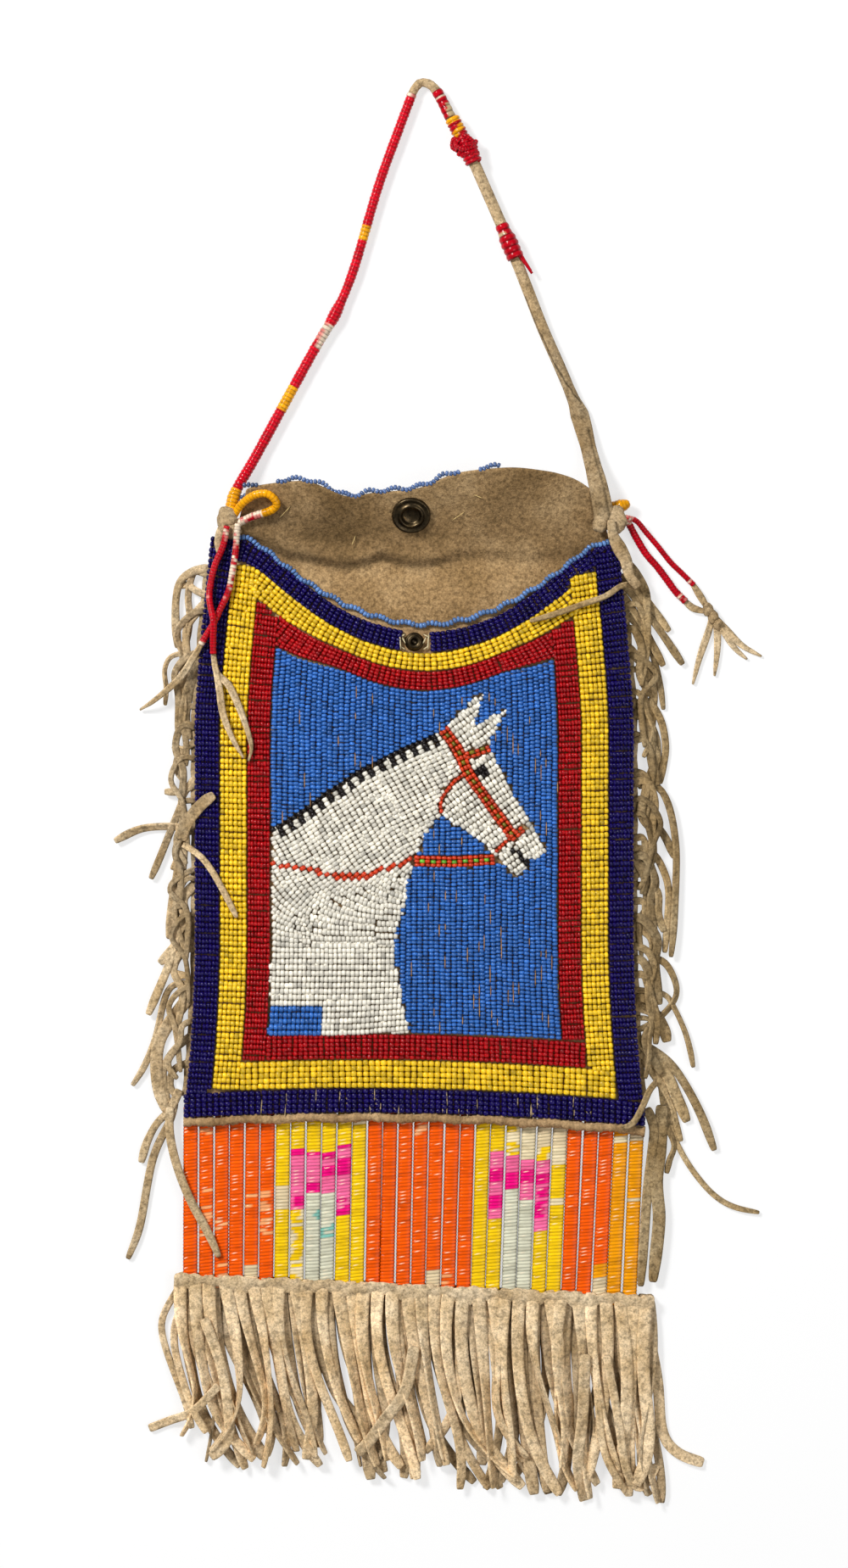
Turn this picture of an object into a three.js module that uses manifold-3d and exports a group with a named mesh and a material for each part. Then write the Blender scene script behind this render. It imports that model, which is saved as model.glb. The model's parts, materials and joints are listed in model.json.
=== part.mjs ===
// A beaded hide pipe bag, lying on its back: a flat pouch with a beaded front and a closing flap,
// quill-wrapped slats below the hem, hide fringes, and a thong handle with quill pendants.
// Millimetres, +Z up, +Y towards the mouth. The origin is in the middle of the pouch's back face.

import * as THREE from 'three';
import { mergeVertices } from 'three/addons/utils/BufferGeometryUtils.js';
import Module from 'manifold-3d';

const wasm = await Module();
wasm.setup();

// Hide, and the gap that neighbouring pieces keep
const hide = 1.2;
const clearance = 0.3;

// Pouch outline: half widths at the hem, the waist and the shoulders, and where the sides bend
const hemHalfWidth = 76.5;
const waistHalfWidth = 72.8;
const shoulderHalfWidth = 67.4;
const hemLine = -93.5;
const flareStart = -30;
const taperStart = 35;
const shoulderLine = 96.5;
const hemDrop = 3;
const hemSkew = 1.4;
const taperPower = 1.3;

// Mouth: a wide dip in the front panel's top edge
const mouthDepth = 28.7;
const mouthHalfSpan = 57;
const mouthMiddle = 3;
const mouthPower = 1.9;
const mouthRounding = 0.12;
const shoulderSkew = 0.9;

// How far the front panel stands off the back panel, and how far up it takes to rise
const crown = 7;
const crownRun = 95;
const crownPower = 3;

// Flap: the back panel's top, curled up towards the viewer
const flapHalfWidth = 60.5;
const flapTopHalfWidth = 55.5;
const bendLine = 86;
const bendRun = 12;
const flapSlope = 0.6;
const flapSideFall = 0.45;
const flapSidePower = 3;
const flapStepStart = 8;
const flapStepRun = 10;
const flapWave = [[-56, 110.6], [-35, 114.8], [-21.8, 109.4], [3, 112.8], [30, 119], [56, 113.5]];

// Beadwork: height of the beads, the hump of a lane, and the widths of the three border lanes
const beadHeight = 1.5;
const laneHump = 0.5;
const laneGap = 0.4;
const laneMargin = 0.4;
const mouthMargin = 2.3;
const sideLanes = [8.1, 8.7, 7.3];
const hemLanes = [7.8, 9.1, 8.2];
const mouthLanes = [6.6, 5.7, 6];
const edgeBeadRadius = 1;

// Lines of sewing: level ones part the field into bands and upright ones part the horse into lanes, and the
// beads swell between them
const fieldBands = 10;
const horseLanes = 8;
const sewnSwell = 0.5;

// Horse's head, drawn from the field's lower left corner and fitted to the field: it runs out of the field at
// the left and below, and its nose and ears keep these gaps to the field's right side and top
const figureBleed = 24;
const noseGap = 5;
const earGap = 2.5;
const maneDepth = 4;
const bridleWidth = 3.4;
const bridleHeight = 0.6;
const maneLine = [[-figureBleed, 53], [0, 68], [12, 75.5], [23, 83.5], [35, 90.5], [46, 96], [59.5, 102.5]];
const headLine = [
  [65, 108], [71.5, 112], [68, 102], [78, 107], [73.5, 97], [78.5, 85], [85, 74.5], [92, 61.5],
  [88.5, 59], [82.5, 53.5], [78.5, 56.5], [71.5, 64], [57.5, 73], [53, 69.5],
];
const chestLine = [
  [48, 58], [45.5, 44], [41.5, 29], [44, 13.5], [46, 0], [46, -figureBleed], [-figureBleed, -figureBleed],
];
const cheekStrap = [[58, 101], [63, 94.5], [66.5, 87], [72.5, 78], [78.5, 70], [80, 65]];
const browBand = [[64.5, 92.5], [73, 94.5]];
const noseBand = [[80, 66], [84.5, 69]];
const reinStrap = [[80, 65], [74, 58.5], [48.5, 58]];
const neckRein = [[49, 58], [41, 56.5], [32, 53], [23.5, 53], [12, 55.5], [2, 57]];

// Slats: rawhide strips wrapped with quill
const slatCount = 30;
const slatGap = 0.5;
const slatThickness = 1.6;
const slatEase = 0.4;
const slatTuck = 4;
const slatLean = 3;
const weltRadius = 1.4;

// Lower band and its fringe
const bandLine = -150;
const bandSlope = 0.046;
const bandOverhang = 3;
const bandDepth = 9;
const frontThongs = 30;
const backThongs = 22;
const fringeStations = [0, 0.3, 0.65, 1];
const thongWidth = 4.4;
const fringeLengthLeft = 57;
const fringeLengthRight = 64;
const fringeLengthSpread = 11;
const fringeLeanLeft = 13;
const fringeLeanRight = 2;
const fringeLeanSpread = 9;
const fringeSway = 4;
const fringeLeanPower = 1.4;
const fringeFall = 0.4;
const fringeThickness = 0.8;

// Long or stray thongs of the lower fringe: which band end they are measured from (-1 left, 1 right,
// 0 the middle), width, and points as distance inwards from there and distance below the band line
const strayThongs = [
  [-1, 2.4, [[2.5, 3], [-4, 15], [-3.5, 23], [0, 33], [4, 43], [6, 51]]],
  [-1, 2.6, [[4, 8], [0.5, 16], [0, 24], [2.5, 34], [6.5, 45], [11, 52]]],
  [-1, 3, [[15, 36], [6.5, 45], [-1.5, 49], [-8.5, 52]]],
  [-1, 3.6, [[10, 14], [16, 31], [18.5, 51], [16, 57], [12, 60]]],
  [0, 4.2, [[0, 20], [-3, 35], [-9.5, 44.5], [-15.5, 53], [-19, 56.5]]],
  [1, 3.8, [[3, 8], [-1, 28], [-2.5, 45], [-7.5, 52], [-16.5, 55]]],
  [1, 4, [[23, 20], [24, 42], [25.5, 56], [23, 69.5]]],
  [1, 3, [[16, 20], [12, 42], [9.5, 58], [4.5, 65], [-1, 56]]],
  [1, 2.6, [[19, 34], [17, 51], [13, 60], [8.5, 66.5]]],
];

// Side thongs: width, whether they lie over the front, and points as distance outside the side edge
// and distance below the shoulder line (upper lists) or above the hem line (lower lists)
const seamInset = 4.5;
const seamOutset = 0.8;
const thongLieLow = 0.66;
const thongLieHigh = 1.26;
const thongFallStart = 1.5;
const thongFallRun = 3;
const leftUpperThongs = [
  [3, false, [[-0.5, 12], [6, 12], [8.5, 15.5], [8.5, 22.5], [7, 30.5], [5.5, 39]]],
  [3.2, false, [[-0.5, 21], [4.5, 28], [4.5, 35], [3, 43.5], [5, 51.5]]],
  [4.2, false, [[-0.5, 36.5], [2, 47.5], [3.5, 58.5], [2, 66.5]]],
  [2.6, false, [[-0.5, 67], [4.5, 70.5], [6, 75.5], [3, 80.5]]],
  [2.6, false, [[-0.5, 81], [4.5, 83.5], [10, 83.5]]],
  [2.4, false, [[0, 79], [4.5, 86.5], [3.5, 92.5], [5, 103.5], [7.5, 109.5]]],
  [3, false, [[-0.5, 96], [8, 95], [16.5, 95.5], [22, 97.5], [26.5, 100]]],
  [2.6, false, [[4, 87], [8.5, 98], [11.5, 105.5], [14.5, 112.5]]],
];
const leftLowerThongs = [
  [4.4, false, [[4, 96], [4.5, 82.5], [6.5, 71], [8, 57.5]]],
  [4, true, [[4.5, 90.5], [2.5, 95.5], [-0.5, 100], [-4, 103.5], [-7, 105.5]]],
  [2.2, true, [[4.5, 89.5], [0, 87], [-4, 83.5], [-8.5, 76.5], [-14.5, 65]]],
  [3.2, false, [[-0.5, 64.5], [4.5, 61.5], [6.5, 55.5], [8.5, 48.5], [11.5, 40.5], [14.5, 32.5]]],
  [3.6, false, [[-0.5, 76], [4, 71], [3, 65.5], [5, 57], [11.5, 49.5]]],
  [2.4, false, [[-0.5, 43], [6, 43], [8.5, 40.5], [10, 34.5], [11.5, 25], [14.5, 15.5], [18, 9]]],
  [4.4, false, [[-0.5, 42], [3, 36], [7, 30.5], [10.5, 23.5], [10.5, 15], [8.5, 6.5], [5.5, 0.5]]],
  [2.8, false, [[-0.5, 26], [5.5, 20.5], [8, 15], [7, 8], [5, 2.5]]],
  [3.2, false, [[2, 8], [4.5, 1], [8.5, -3], [12, -9.5], [14, -16.5]]],
  [2.8, false, [[3, 4], [4.5, -3], [7, -7.5], [10, -14.5], [12, -24], [14.5, -38], [18.5, -48.5]]],
  [3, true, [[4.5, 2.5], [4.5, -6], [2, -17], [-2.5, -28.5], [-8.5, -39.5], [-12, -47.5]]],
];
const rightUpperThongs = [
  [2.8, false, [[-0.5, 12], [4.5, 16], [9, 22.5], [14, 30.5]]],
  [2, true, [[4.5, 15], [-1, 15.5], [-6, 19], [-13.5, 21.5], [-23.5, 25], [-32.5, 27.5]]],
  [3, false, [[-0.5, 13], [5, 21.5], [11, 30.5], [17.5, 41.5]]],
  [2.2, false, [[-0.5, 24], [6, 32], [8.5, 42], [9.5, 49], [10, 56.5]]],
  [3.4, false, [[-0.5, 35.5], [5.5, 43.5], [7, 50.5], [6, 57.5], [5.5, 65.5]]],
  [3.4, false, [[-0.5, 53], [4.5, 60], [7.5, 68.5], [5.5, 78.5], [1, 82]]],
  [2.6, false, [[-0.5, 81], [7.5, 81], [11.5, 88], [13.5, 98], [14, 107.5], [13, 130], [12, 138.5]]],
  [3, false, [[-0.5, 86.5], [4.5, 91], [10, 98], [13.5, 105.5]]],
];
const rightLowerThongs = [
  [2.6, false, [[-0.5, 88], [6, 86.5], [9.5, 81], [11.5, 74], [11, 62.5], [10, 53]]],
  [4, false, [[-0.5, 86.5], [4, 78], [4.5, 68.5], [2.5, 60.5]]],
  [3, false, [[-0.5, 75.5], [7.5, 74], [8, 65.5], [10, 60]]],
  [3.4, false, [[-0.5, 62.5], [5.5, 58.5], [6, 51.5], [4.5, 41.5]]],
  [2.6, false, [[6, 51.5], [10, 50], [13, 44.5], [13.5, 39], [9.5, 33.5], [3.5, 29], [-0.5, 27.5]]],
  [2.2, false, [[-0.5, 41], [9.5, 39.5], [12, 36], [15.5, 27.5], [17, 20.5], [17.5, 15]]],
  [4.2, false, [[-0.5, 36], [5.5, 33.5], [8.5, 28.5], [9.5, 23.5]]],
  [4, false, [[-0.5, 25], [4, 19.5], [6.5, 12.5], [7, 4], [8, -4.5]]],
  [3.2, false, [[-0.5, 24], [8.5, 18], [13.5, 11], [18.5, -0.5], [23, -12.5]]],
  [4, false, [[0.5, 20.5], [8, 13.5], [11, 5.5], [14, -3]]],
  [2.2, true, [[5, 10.5], [2, 8], [-1, 2.5], [-4.5, -3], [-8.5, -4.5]]],
  [5, false, [[1.5, 11], [5, 2.5], [5, -10], [4.5, -23.5], [3.5, -38], [3, -53]]],
  [4, false, [[4.5, -1.5], [3.5, -15.5], [3, -29.5], [2.7, -52]]],
  [2, false, [[8, -3], [10.5, -10], [15, -18], [22, -26.5], [29, -31], [38, -33]]],
];

// Handle: a thong whose left leg and bend are thin and whose right leg is a thicker roll that opens
// into a flat strap. Points are x, y and height of the middle line.
const thongRadius = 1.3;
const rollRadius = 2;
const strapWidth = 7.2;
const wrapThickness = 0.45;
const knotWrapThickness = 1.3;
const handleLeft = [
  [-60.6, 105.6, 6.6], [-58.8, 112.5, 5], [-53, 123, 2.6], [-44, 139.5, 2.3], [-33, 159.5, 2.3],
  [-26, 171.5, 2.3], [-20, 186, 2.3], [-12, 213, 2.3], [-5, 232.5, 2.3], [-1.5, 242, 2.2],
];
const handleBend = [[0, 246, 1.9], [2.5, 248, 1.8], [5.5, 247, 1.8], [8, 244, 1.9], [11, 238, 2.8]];
const handleRight = [[17, 227, 3.9], [24, 211.5, 3.2], [31, 195.5, 3]];
const handleLower = [[37, 180.5, 2.8], [42.5, 166.5, 2.1], [48, 154, 2.1], [52, 144.5, 2.1]];
const upperWrapRoute = [[13.5, 233.4, 3.8], handleRight[0], [19.5, 221.5, 3.8]];
const lowerWrapRoute = [[29, 200.1, 2.9], handleRight.at(-1), [35, 185.8, 2.8]];
const strapRoute = [[50.5, 148, 1.9], [55, 137, 1.5], [58.5, 123, 2.6], [60.7, 113.5, 5.5]];
const strapEnd = [[62.5, 105, 5], [63.5, 99.5, 4]];

// Quill loops and pendants at the two upper corners
const quillRadius = 1.6;
const legRadius = 1.2;
const tieRadius = 2.7;
const flapLift = 1.35;
const tieSpot = [-61.5, 101.2];
const leftLoopRoute = [
  [-59.5, 103], [-56, 107.5], [-52, 110], [-48, 109.5], [-47, 106.5], [-51, 104], [-56, 102.5],
];
const pendantRouteA = [[-64, 96.5], [-65.5, 84], [-67.5, 77], [-67, 71.5], [-65.8, 67.2], [-66, 58]];
const pendantTailA = [[-66, 58.6], [-65, 52], [-61, 48], [-56.5, 38], [-53.5, 28], [-54.5, 23]];
const pendantSplitA = [[-65.5, 55.5], [-64, 46], [-63, 39], [-60, 31], [-56, 24]];
const pendantRouteB = [[-59.5, 96.5], [-60, 84], [-61.5, 77], [-63.2, 73.5]];
const pendantCrossB = [[-66, 67, 14.8], [-68, 63, 13.4], [-70, 60, 11]];
const pendantTailB = [[-70, 60, 11], [-73, 56, 8.6], [-77.5, 50.5, 5.2], [-85.5, 43.5, 4.2], [-91, 40, 1]];
const nubRoute = [[66.9, 108.2, 5.2], [69.5, 108.4, 4.4], [72, 108.6, 4]];
const legRouteA = [[67.4, 104.5, 4.6], [71.5, 102, 3.4], [76, 94, 1.4], [81.5, 85.5, 1.3], [89.5, 75, 1.3]];
const legRouteB = [[68.6, 105.2, 7.4], [73, 103, 5.2], [79, 98, 1.8], [84.5, 91, 1.3], [93, 80.5, 1.3]];
const joinRouteA = [[89, 75.6, 1.3], [92.5, 74, 1.2], [96, 70.5, 1]];
const tailsA = [[[95.4, 71, 0.9], [97, 63, 0.7], [94.5, 54.5, 0.7], [92.5, 48.5, 0.7]],
  [[95.8, 70.8, 0.8], [99, 65, 0.7], [100, 56, 0.7], [99.5, 51, 0.7]]];
const tailsB = [[[92.6, 81, 1.3], [96.5, 76, 1], [103.5, 64.5, 0.7], [110.5, 57, 0.7]],
  [[92.8, 80.8, 1.2], [98, 75, 0.9], [107, 65, 0.7], [115.5, 58, 0.7]]];
const tailWidth = 2.4;

// Snap fastener: socket and cap on the flap, stud and eyelet on the front panel
const snapX = -1;
const snapY = 104.5;
const socketRadius = 6.4;
const socketHeight = 2.2;
const postRadius = 1.3;
const studX = 0;
const studRadius = 2.5;
const studHeight = 2.6;
const studFlange = 0.5;
const studRoom = 4.4;
const eyeletRadius = 4;
const eyeletPlate = 0.8;

const { clamp, lerp } = THREE.MathUtils;

function smooth(t) {
  const c = clamp(t, 0, 1);
  return c * c * (3 - 2 * c);
}

// A repeatable scatter between 0 and 1 for the lie of the thongs
function scatter(index, kind) {
  const wave = Math.sin(index * 12.9898 + kind * 78.233) * 43758.5453;
  return wave - Math.floor(wave);
}

// Outline of the pouch
function sideHalf(y) {
  const flare = clamp((flareStart - y) / (flareStart - hemLine), 0, 1) ** 2;
  const taper = clamp((y - taperStart) / (shoulderLine - taperStart), 0, 1) ** taperPower;
  const lower = waistHalfWidth + (hemHalfWidth - waistHalfWidth) * flare;
  return lower - (waistHalfWidth - shoulderHalfWidth) * taper;
}

function hem(x) {
  const u = x / hemHalfWidth;
  return hemLine - hemDrop * u * u - hemSkew * u;
}

function mouth(x) {
  const out = Math.abs(x - mouthMiddle) / mouthHalfSpan;
  const past = clamp(out - 1 + mouthRounding, 0, 2 * mouthRounding);
  const s = Math.min(out, 1 + mouthRounding) - (past * past) / (4 * mouthRounding);
  return shoulderLine - mouthDepth * (1 - s ** mouthPower) - shoulderSkew * (x / shoulderHalfWidth);
}

function band(x) {
  return bandLine - bandSlope * x;
}

// A point of the front, at share u of the way from the middle to the side edge drawn in by an inset, and at
// share t of the way from the hem raised by low to the mouth lowered by high
const settleRounds = 4;

function frontPoint(u, t, inset = 0, low = 0, high = 0) {
  let x = 0;
  let y = lerp(hemLine, shoulderLine, t);
  for (let round = 0; round < settleRounds; round++) {
    x = u * (sideHalf(y) - inset);
    y = lerp(hem(x) + low, mouth(x) - high, t);
  }
  return [x, y];
}

// Heights of the stacked layers
const slatZ = hide + clearance;
const slatTop = slatZ + slatThickness;
const seamZ = slatTop + clearance;
const weltZ = slatTop + clearance + weltRadius;

function innerZ(x, y) {
  const u = Math.min(1, Math.abs(x) / sideHalf(y));
  return seamZ + crown * (1 - u ** crownPower) * smooth((y - hemLine) / crownRun);
}

function outerZ(x, y) {
  return innerZ(x, y) + hide;
}

function beadBase(x, y) {
  return outerZ(x, y) + clearance;
}

function beadTop(x, y) {
  return beadBase(x, y) + beadHeight + laneHump;
}

// The flap's curl: underside, vertical thickness and top
const flapCurve = new THREE.SplineCurve(flapWave.map(([x, y]) => new THREE.Vector2(x, y)));
const flapSamples = flapCurve.getPoints(60);

function flapTop(x) {
  const after = flapSamples.findIndex((p) => p.x > x);
  if (after === 0) return flapSamples[0].y;
  if (after < 0) return flapSamples.at(-1).y;
  const a = flapSamples[after - 1];
  const b = flapSamples[after];
  return lerp(a.y, b.y, (x - a.x) / (b.x - a.x));
}

function flapFall(x) {
  return 1 - flapSideFall * Math.min(1, Math.abs(x) / flapHalfWidth) ** flapSidePower;
}

function backUnder(x, y) {
  const d = Math.max(0, y - bendLine);
  const rise = d < bendRun ? (flapSlope * d * d) / (2 * bendRun) : flapSlope * (d - bendRun / 2);
  return rise * flapFall(x);
}

function backUpright(x, y) {
  const slope = flapSlope * clamp((y - bendLine) / bendRun, 0, 1) * flapFall(x);
  return hide * Math.hypot(1, slope);
}

function backTop(x, y) {
  return backUnder(x, y) + backUpright(x, y);
}

function backHalf(y) {
  const narrowing = smooth((y - shoulderLine + flapStepStart) / flapStepRun);
  const rising = clamp((y - shoulderLine) / (flapCurve.points[1].y - shoulderLine), 0, 1);
  return lerp(sideHalf(y), lerp(flapHalfWidth, flapTopHalfWidth, rising), narrowing);
}

// Moves every vertex of a geometry by a rule
function warp(geometry, place) {
  const position = geometry.attributes.position;
  const v = new THREE.Vector3();
  for (let i = 0; i < position.count; i++) {
    v.fromBufferAttribute(position, i);
    place(v);
    position.setXYZ(i, v.x, v.y, v.z);
  }
  return geometry;
}

// A closed solid from a geometry, with its faces pointing out
function solid(geometry) {
  const bare = geometry.clone();
  bare.deleteAttribute('normal');
  bare.deleteAttribute('uv');
  const merged = mergeVertices(bare, 1e-4);
  const vertProperties = new Float32Array(merged.attributes.position.array);
  const triVerts = new Uint32Array(merged.index.array);
  const corner = (i) => new THREE.Vector3().fromArray(vertProperties, 3 * triVerts[i]);
  let volume = 0;
  for (let i = 0; i < triVerts.length; i += 3) {
    volume += corner(i).dot(corner(i + 1).cross(corner(i + 2)));
  }
  if (volume < 0) triVerts.reverse();
  return new wasm.Manifold(new wasm.Mesh({ numProp: 3, vertProperties, triVerts }));
}

function join(solids) {
  return solids.reduce((sum, next) => sum.add(next));
}

const bag = new THREE.Group();

function addPart(name, shape, material, parent = bag) {
  const mesh = shape.getMesh();
  const geometry = new THREE.BufferGeometry();
  geometry.setAttribute('position', new THREE.BufferAttribute(new Float32Array(mesh.vertProperties), 3));
  geometry.setIndex(new THREE.BufferAttribute(new Uint32Array(mesh.triVerts), 1));
  geometry.computeVertexNormals();
  const part = new THREE.Mesh(geometry, material);
  part.name = name;
  parent.add(part);
  return part;
}

function finish(color, roughness, metalness = 0) {
  return new THREE.MeshStandardMaterial({ color, roughness, metalness });
}

const hideFinish = finish(0xbfa279, 0.9);
const darkHide = finish(0x8f744c, 0.9);
const darkBlueBeads = finish(0x1c1066, 0.25);
const yellowBeads = finish(0xe8bd24, 0.35);
const redBeads = finish(0xa3141a, 0.3);
const skyBeads = finish(0x3c74c4, 0.3);
const whiteBeads = finish(0xe6e1d4, 0.35);
const blackBeads = finish(0x25201e, 0.3);
const orangeBeads = finish(0xc8481a, 0.35);
const edgeBeads = finish(0x6e93c8, 0.3);
const redQuill = finish(0xc41428, 0.5);
const yellowQuill = finish(0xf0a61c, 0.5);
const orangeQuill = finish(0xf05a0c, 0.5);
const snapMetal = finish(0x4a3c26, 0.45, 0.9);

// A flat hide strip along points that give the middle of its thickness
function ribbon(points, width, thickness = hide) {
  const last = points.length - 1;
  const strip = new THREE.BoxGeometry(1, 1, 1, 1, last, 1);
  return solid(warp(strip, (v) => {
    const i = Math.round((v.y + 0.5) * last);
    const [ax, ay] = points[Math.max(0, i - 1)];
    const [bx, by] = points[Math.min(last, i + 1)];
    const run = Math.hypot(bx - ax, by - ay);
    const [x, y, z] = points[i];
    const side = v.x * width;
    v.set(x + (side * (by - ay)) / run, y - (side * (bx - ax)) / run, z + v.z * thickness);
  }));
}

// A round cord along points
function cord(points, radius, steps, sides = 8) {
  const curve = new THREE.CatmullRomCurve3(points.map(([x, y, z]) => new THREE.Vector3(x, y, z)));
  const section = new THREE.Shape();
  for (let i = 0; i < sides; i++) {
    const angle = (2 * Math.PI * i) / sides;
    section[i ? 'lineTo' : 'moveTo'](radius * Math.cos(angle), radius * Math.sin(angle));
  }
  return solid(new THREE.ExtrudeGeometry(section, { steps, extrudePath: curve, bevelEnabled: false }));
}

// A tube of wrap round a stretch of a cord
function sleeve(points, radius, thickness, steps) {
  const outer = cord(points, radius + clearance + thickness, steps);
  const first = points[0].map((c, k) => 2 * c - points[1][k]);
  const final = points.at(-1).map((c, k) => 2 * c - points.at(-2)[k]);
  return outer.subtract(cord([first, ...points, final], radius + clearance, steps + 2));
}

// An upright rod through a group's origin, and a shape turned about its axis
const roundSides = 12;

function rod(radius, reach, group) {
  const cylinder = new THREE.CylinderGeometry(radius, radius, 2 * reach, roundSides);
  cylinder.rotateX(Math.PI / 2);
  return solid(cylinder.applyMatrix4(group.matrixWorld));
}

function turned(profile) {
  const lathe = new THREE.LatheGeometry(profile.map(([r, z]) => new THREE.Vector2(r, z)), roundSides);
  lathe.rotateX(Math.PI / 2);
  return solid(lathe);
}

// Back panel and flap
const backFlatRows = 4;
const backFlapRows = 7;

function backPanel() {
  const rows = backFlatRows + backFlapRows;
  const flatShare = backFlatRows / rows;
  const nominalTop = flapCurve.points[1].y;
  const sheet = new THREE.BoxGeometry(2, 1, 1, 14, rows, 1);
  return solid(warp(sheet, (v) => {
    const w = v.y + 0.5;
    const onFlap = w > flatShare + 1e-6;
    const t = onFlap ? (w - flatShare) / (1 - flatShare) : w / flatShare;
    const nominal = onFlap ? lerp(bendLine, nominalTop, t) : lerp(hemLine, bendLine, t);
    const x = v.x * backHalf(nominal);
    const y = onFlap ? lerp(bendLine, flapTop(x), t) : lerp(hem(x), bendLine, t);
    v.set(x, y, v.z > 0 ? backTop(x, y) : backUnder(x, y));
  }));
}

const snapGroup = new THREE.Group();
snapGroup.position.set(snapX, snapY, backUnder(snapX, snapY) + backUpright(snapX, snapY) / 2);
snapGroup.rotation.x = Math.atan(flapSlope);
bag.add(snapGroup);
snapGroup.updateMatrixWorld(true);

addPart('back_panel', backPanel().subtract(rod(postRadius + clearance, 3 * hide, snapGroup)), darkHide);

// Front panel with its crown and the stud's hole
const sideLaneStart = [laneMargin];
const hemLaneStart = [laneMargin];
const mouthLaneStart = [mouthMargin];
for (let k = 0; k < sideLanes.length; k++) {
  sideLaneStart.push(sideLaneStart[k] + sideLanes[k] + laneGap);
  hemLaneStart.push(hemLaneStart[k] + hemLanes[k] + laneGap);
  mouthLaneStart.push(mouthLaneStart[k] + mouthLanes[k] + laneGap);
}
const studY = mouth(studX) - mouthLaneStart[0] - mouthLanes[0] / 2;

function frontPanel() {
  const sheet = new THREE.BoxGeometry(2, 1, 1, 14, 13, 1);
  return solid(warp(sheet, (v) => {
    const [x, y] = frontPoint(v.x, v.y + 0.5);
    v.set(x, y, v.z > 0 ? outerZ(x, y) : innerZ(x, y));
  }));
}

const studGroup = new THREE.Group();
studGroup.position.set(studX, studY, outerZ(studX, studY));
bag.add(studGroup);
studGroup.updateMatrixWorld(true);
addPart('front_panel', frontPanel().subtract(rod(postRadius + clearance, 3 * hide, studGroup)), hideFinish);

// Border lanes: four humped strips joined into a frame
function beadStrip(place, steps) {
  const strip = new THREE.BoxGeometry(1, 1, 1, 2, steps, 1);
  return solid(warp(strip, (v) => {
    const across = v.x + 0.5;
    const [x, y] = place(across, v.y + 0.5);
    const top = beadHeight + laneHump * (1 - (2 * across - 1) ** 2);
    v.set(x, y, beadBase(x, y) + (v.z + 0.5) * top);
  }));
}

// Shares from -1 to 1 that lie closer together towards both ends, where the mouth bends most
function endwise(t) {
  return (lerp(-1, 1, t) - Math.cos(Math.PI * t)) / 2;
}

function laneFrame(k) {
  const side = (a) => sideLaneStart[k] + a * sideLanes[k];
  const low = (a) => hemLaneStart[k] + a * hemLanes[k];
  const high = (a) => mouthLaneStart[k] + a * mouthLanes[k];
  const upright = (hand) => (a, t) => frontPoint(hand, t, side(a), low(0), high(0));
  const bottom = (a, t) => {
    const x = lerp(-1, 1, t) * (sideHalf(hemLine + low(a)) - side(0));
    return [x, hem(x) + low(a)];
  };
  const top = (a, t) => {
    const x = endwise(t) * (sideHalf(shoulderLine - high(a)) - side(0));
    return [x, mouth(x) - high(a)];
  };
  return join([
    beadStrip(upright(-1), 8), beadStrip(upright(1), 8), beadStrip(bottom, 8), beadStrip(top, 16),
  ]);
}

addPart('lane_dark_blue', laneFrame(0).subtract(rod(studRoom, 3 * studHeight, studGroup)), darkBlueBeads);
addPart('lane_yellow', laneFrame(1), yellowBeads);
addPart('lane_red', laneFrame(2), redBeads);

// Field and the horse's head in it
const fieldSide = sideLaneStart[3];
const fieldLow = hemLaneStart[3];
const fieldHigh = mouthLaneStart[3];
const fieldLeft = fieldSide - waistHalfWidth;
const fieldBottom = hemLine + fieldLow;
const fieldTop = mouth(mouthMiddle) - fieldHigh;

const figureWidth = Math.max(...headLine.map(([x]) => x)) + noseGap;
const figureHeight = Math.max(...headLine.map(([, y]) => y)) + earGap;

function figurePoint([x, y]) {
  return [
    fieldLeft - (2 * fieldLeft * x) / figureWidth,
    fieldBottom + ((fieldTop - fieldBottom) * y) / figureHeight,
  ];
}

// A slab of beads over the whole field, in shares across and along it. Each band or lane between two lines of
// sewing has a flat top and two sloping thirds.
const slabColumns = 10;
const slabRows = 11;
const sewnThirds = 3;

function sewnSlab(columns, rows, thirdOf) {
  const sheet = new THREE.BoxGeometry(2, 1, 1, columns, rows, 1);
  return solid(warp(sheet, (v) => {
    const [x, y] = frontPoint(v.x, v.y + 0.5, fieldSide, fieldLow, fieldHigh);
    const onSewing = Math.round(thirdOf(v)) % sewnThirds === 0;
    v.set(x, y, beadBase(x, y) + (v.z + 0.5) * (beadHeight + (onSewing ? 0 : sewnSwell)));
  }));
}

const bandRows = fieldBands * sewnThirds;
const laneColumns = horseLanes * sewnThirds;
const fieldSlab = sewnSlab(slabColumns, bandRows, (v) => (v.y + 0.5) * bandRows);
const horseSlab = sewnSlab(laneColumns, slabRows, (v) => ((v.x + 1) / 2) * laneColumns);

// A tall prism of an outline, whose corners are moved outwards by a margin
function prism(points, margin) {
  const path = points.map(([x, y]) => new THREE.Vector2(x, y));
  if (THREE.ShapeUtils.isClockWise(path)) path.reverse();
  const moved = path.map((p, i) => {
    const before = p.clone().sub(path.at(i - 1)).normalize();
    const after = path[(i + 1) % path.length].clone().sub(p).normalize();
    const normal = new THREE.Vector2(before.y + after.y, -before.x - after.x).normalize();
    const spread = Math.max(0.5, normal.x * after.y - normal.y * after.x);
    return p.clone().addScaledVector(normal, margin / spread);
  });
  const depth = 3 * (seamZ + crown + hide + beadHeight);
  return solid(new THREE.ExtrudeGeometry(new THREE.Shape(moved), { depth, bevelEnabled: false }));
}

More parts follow.
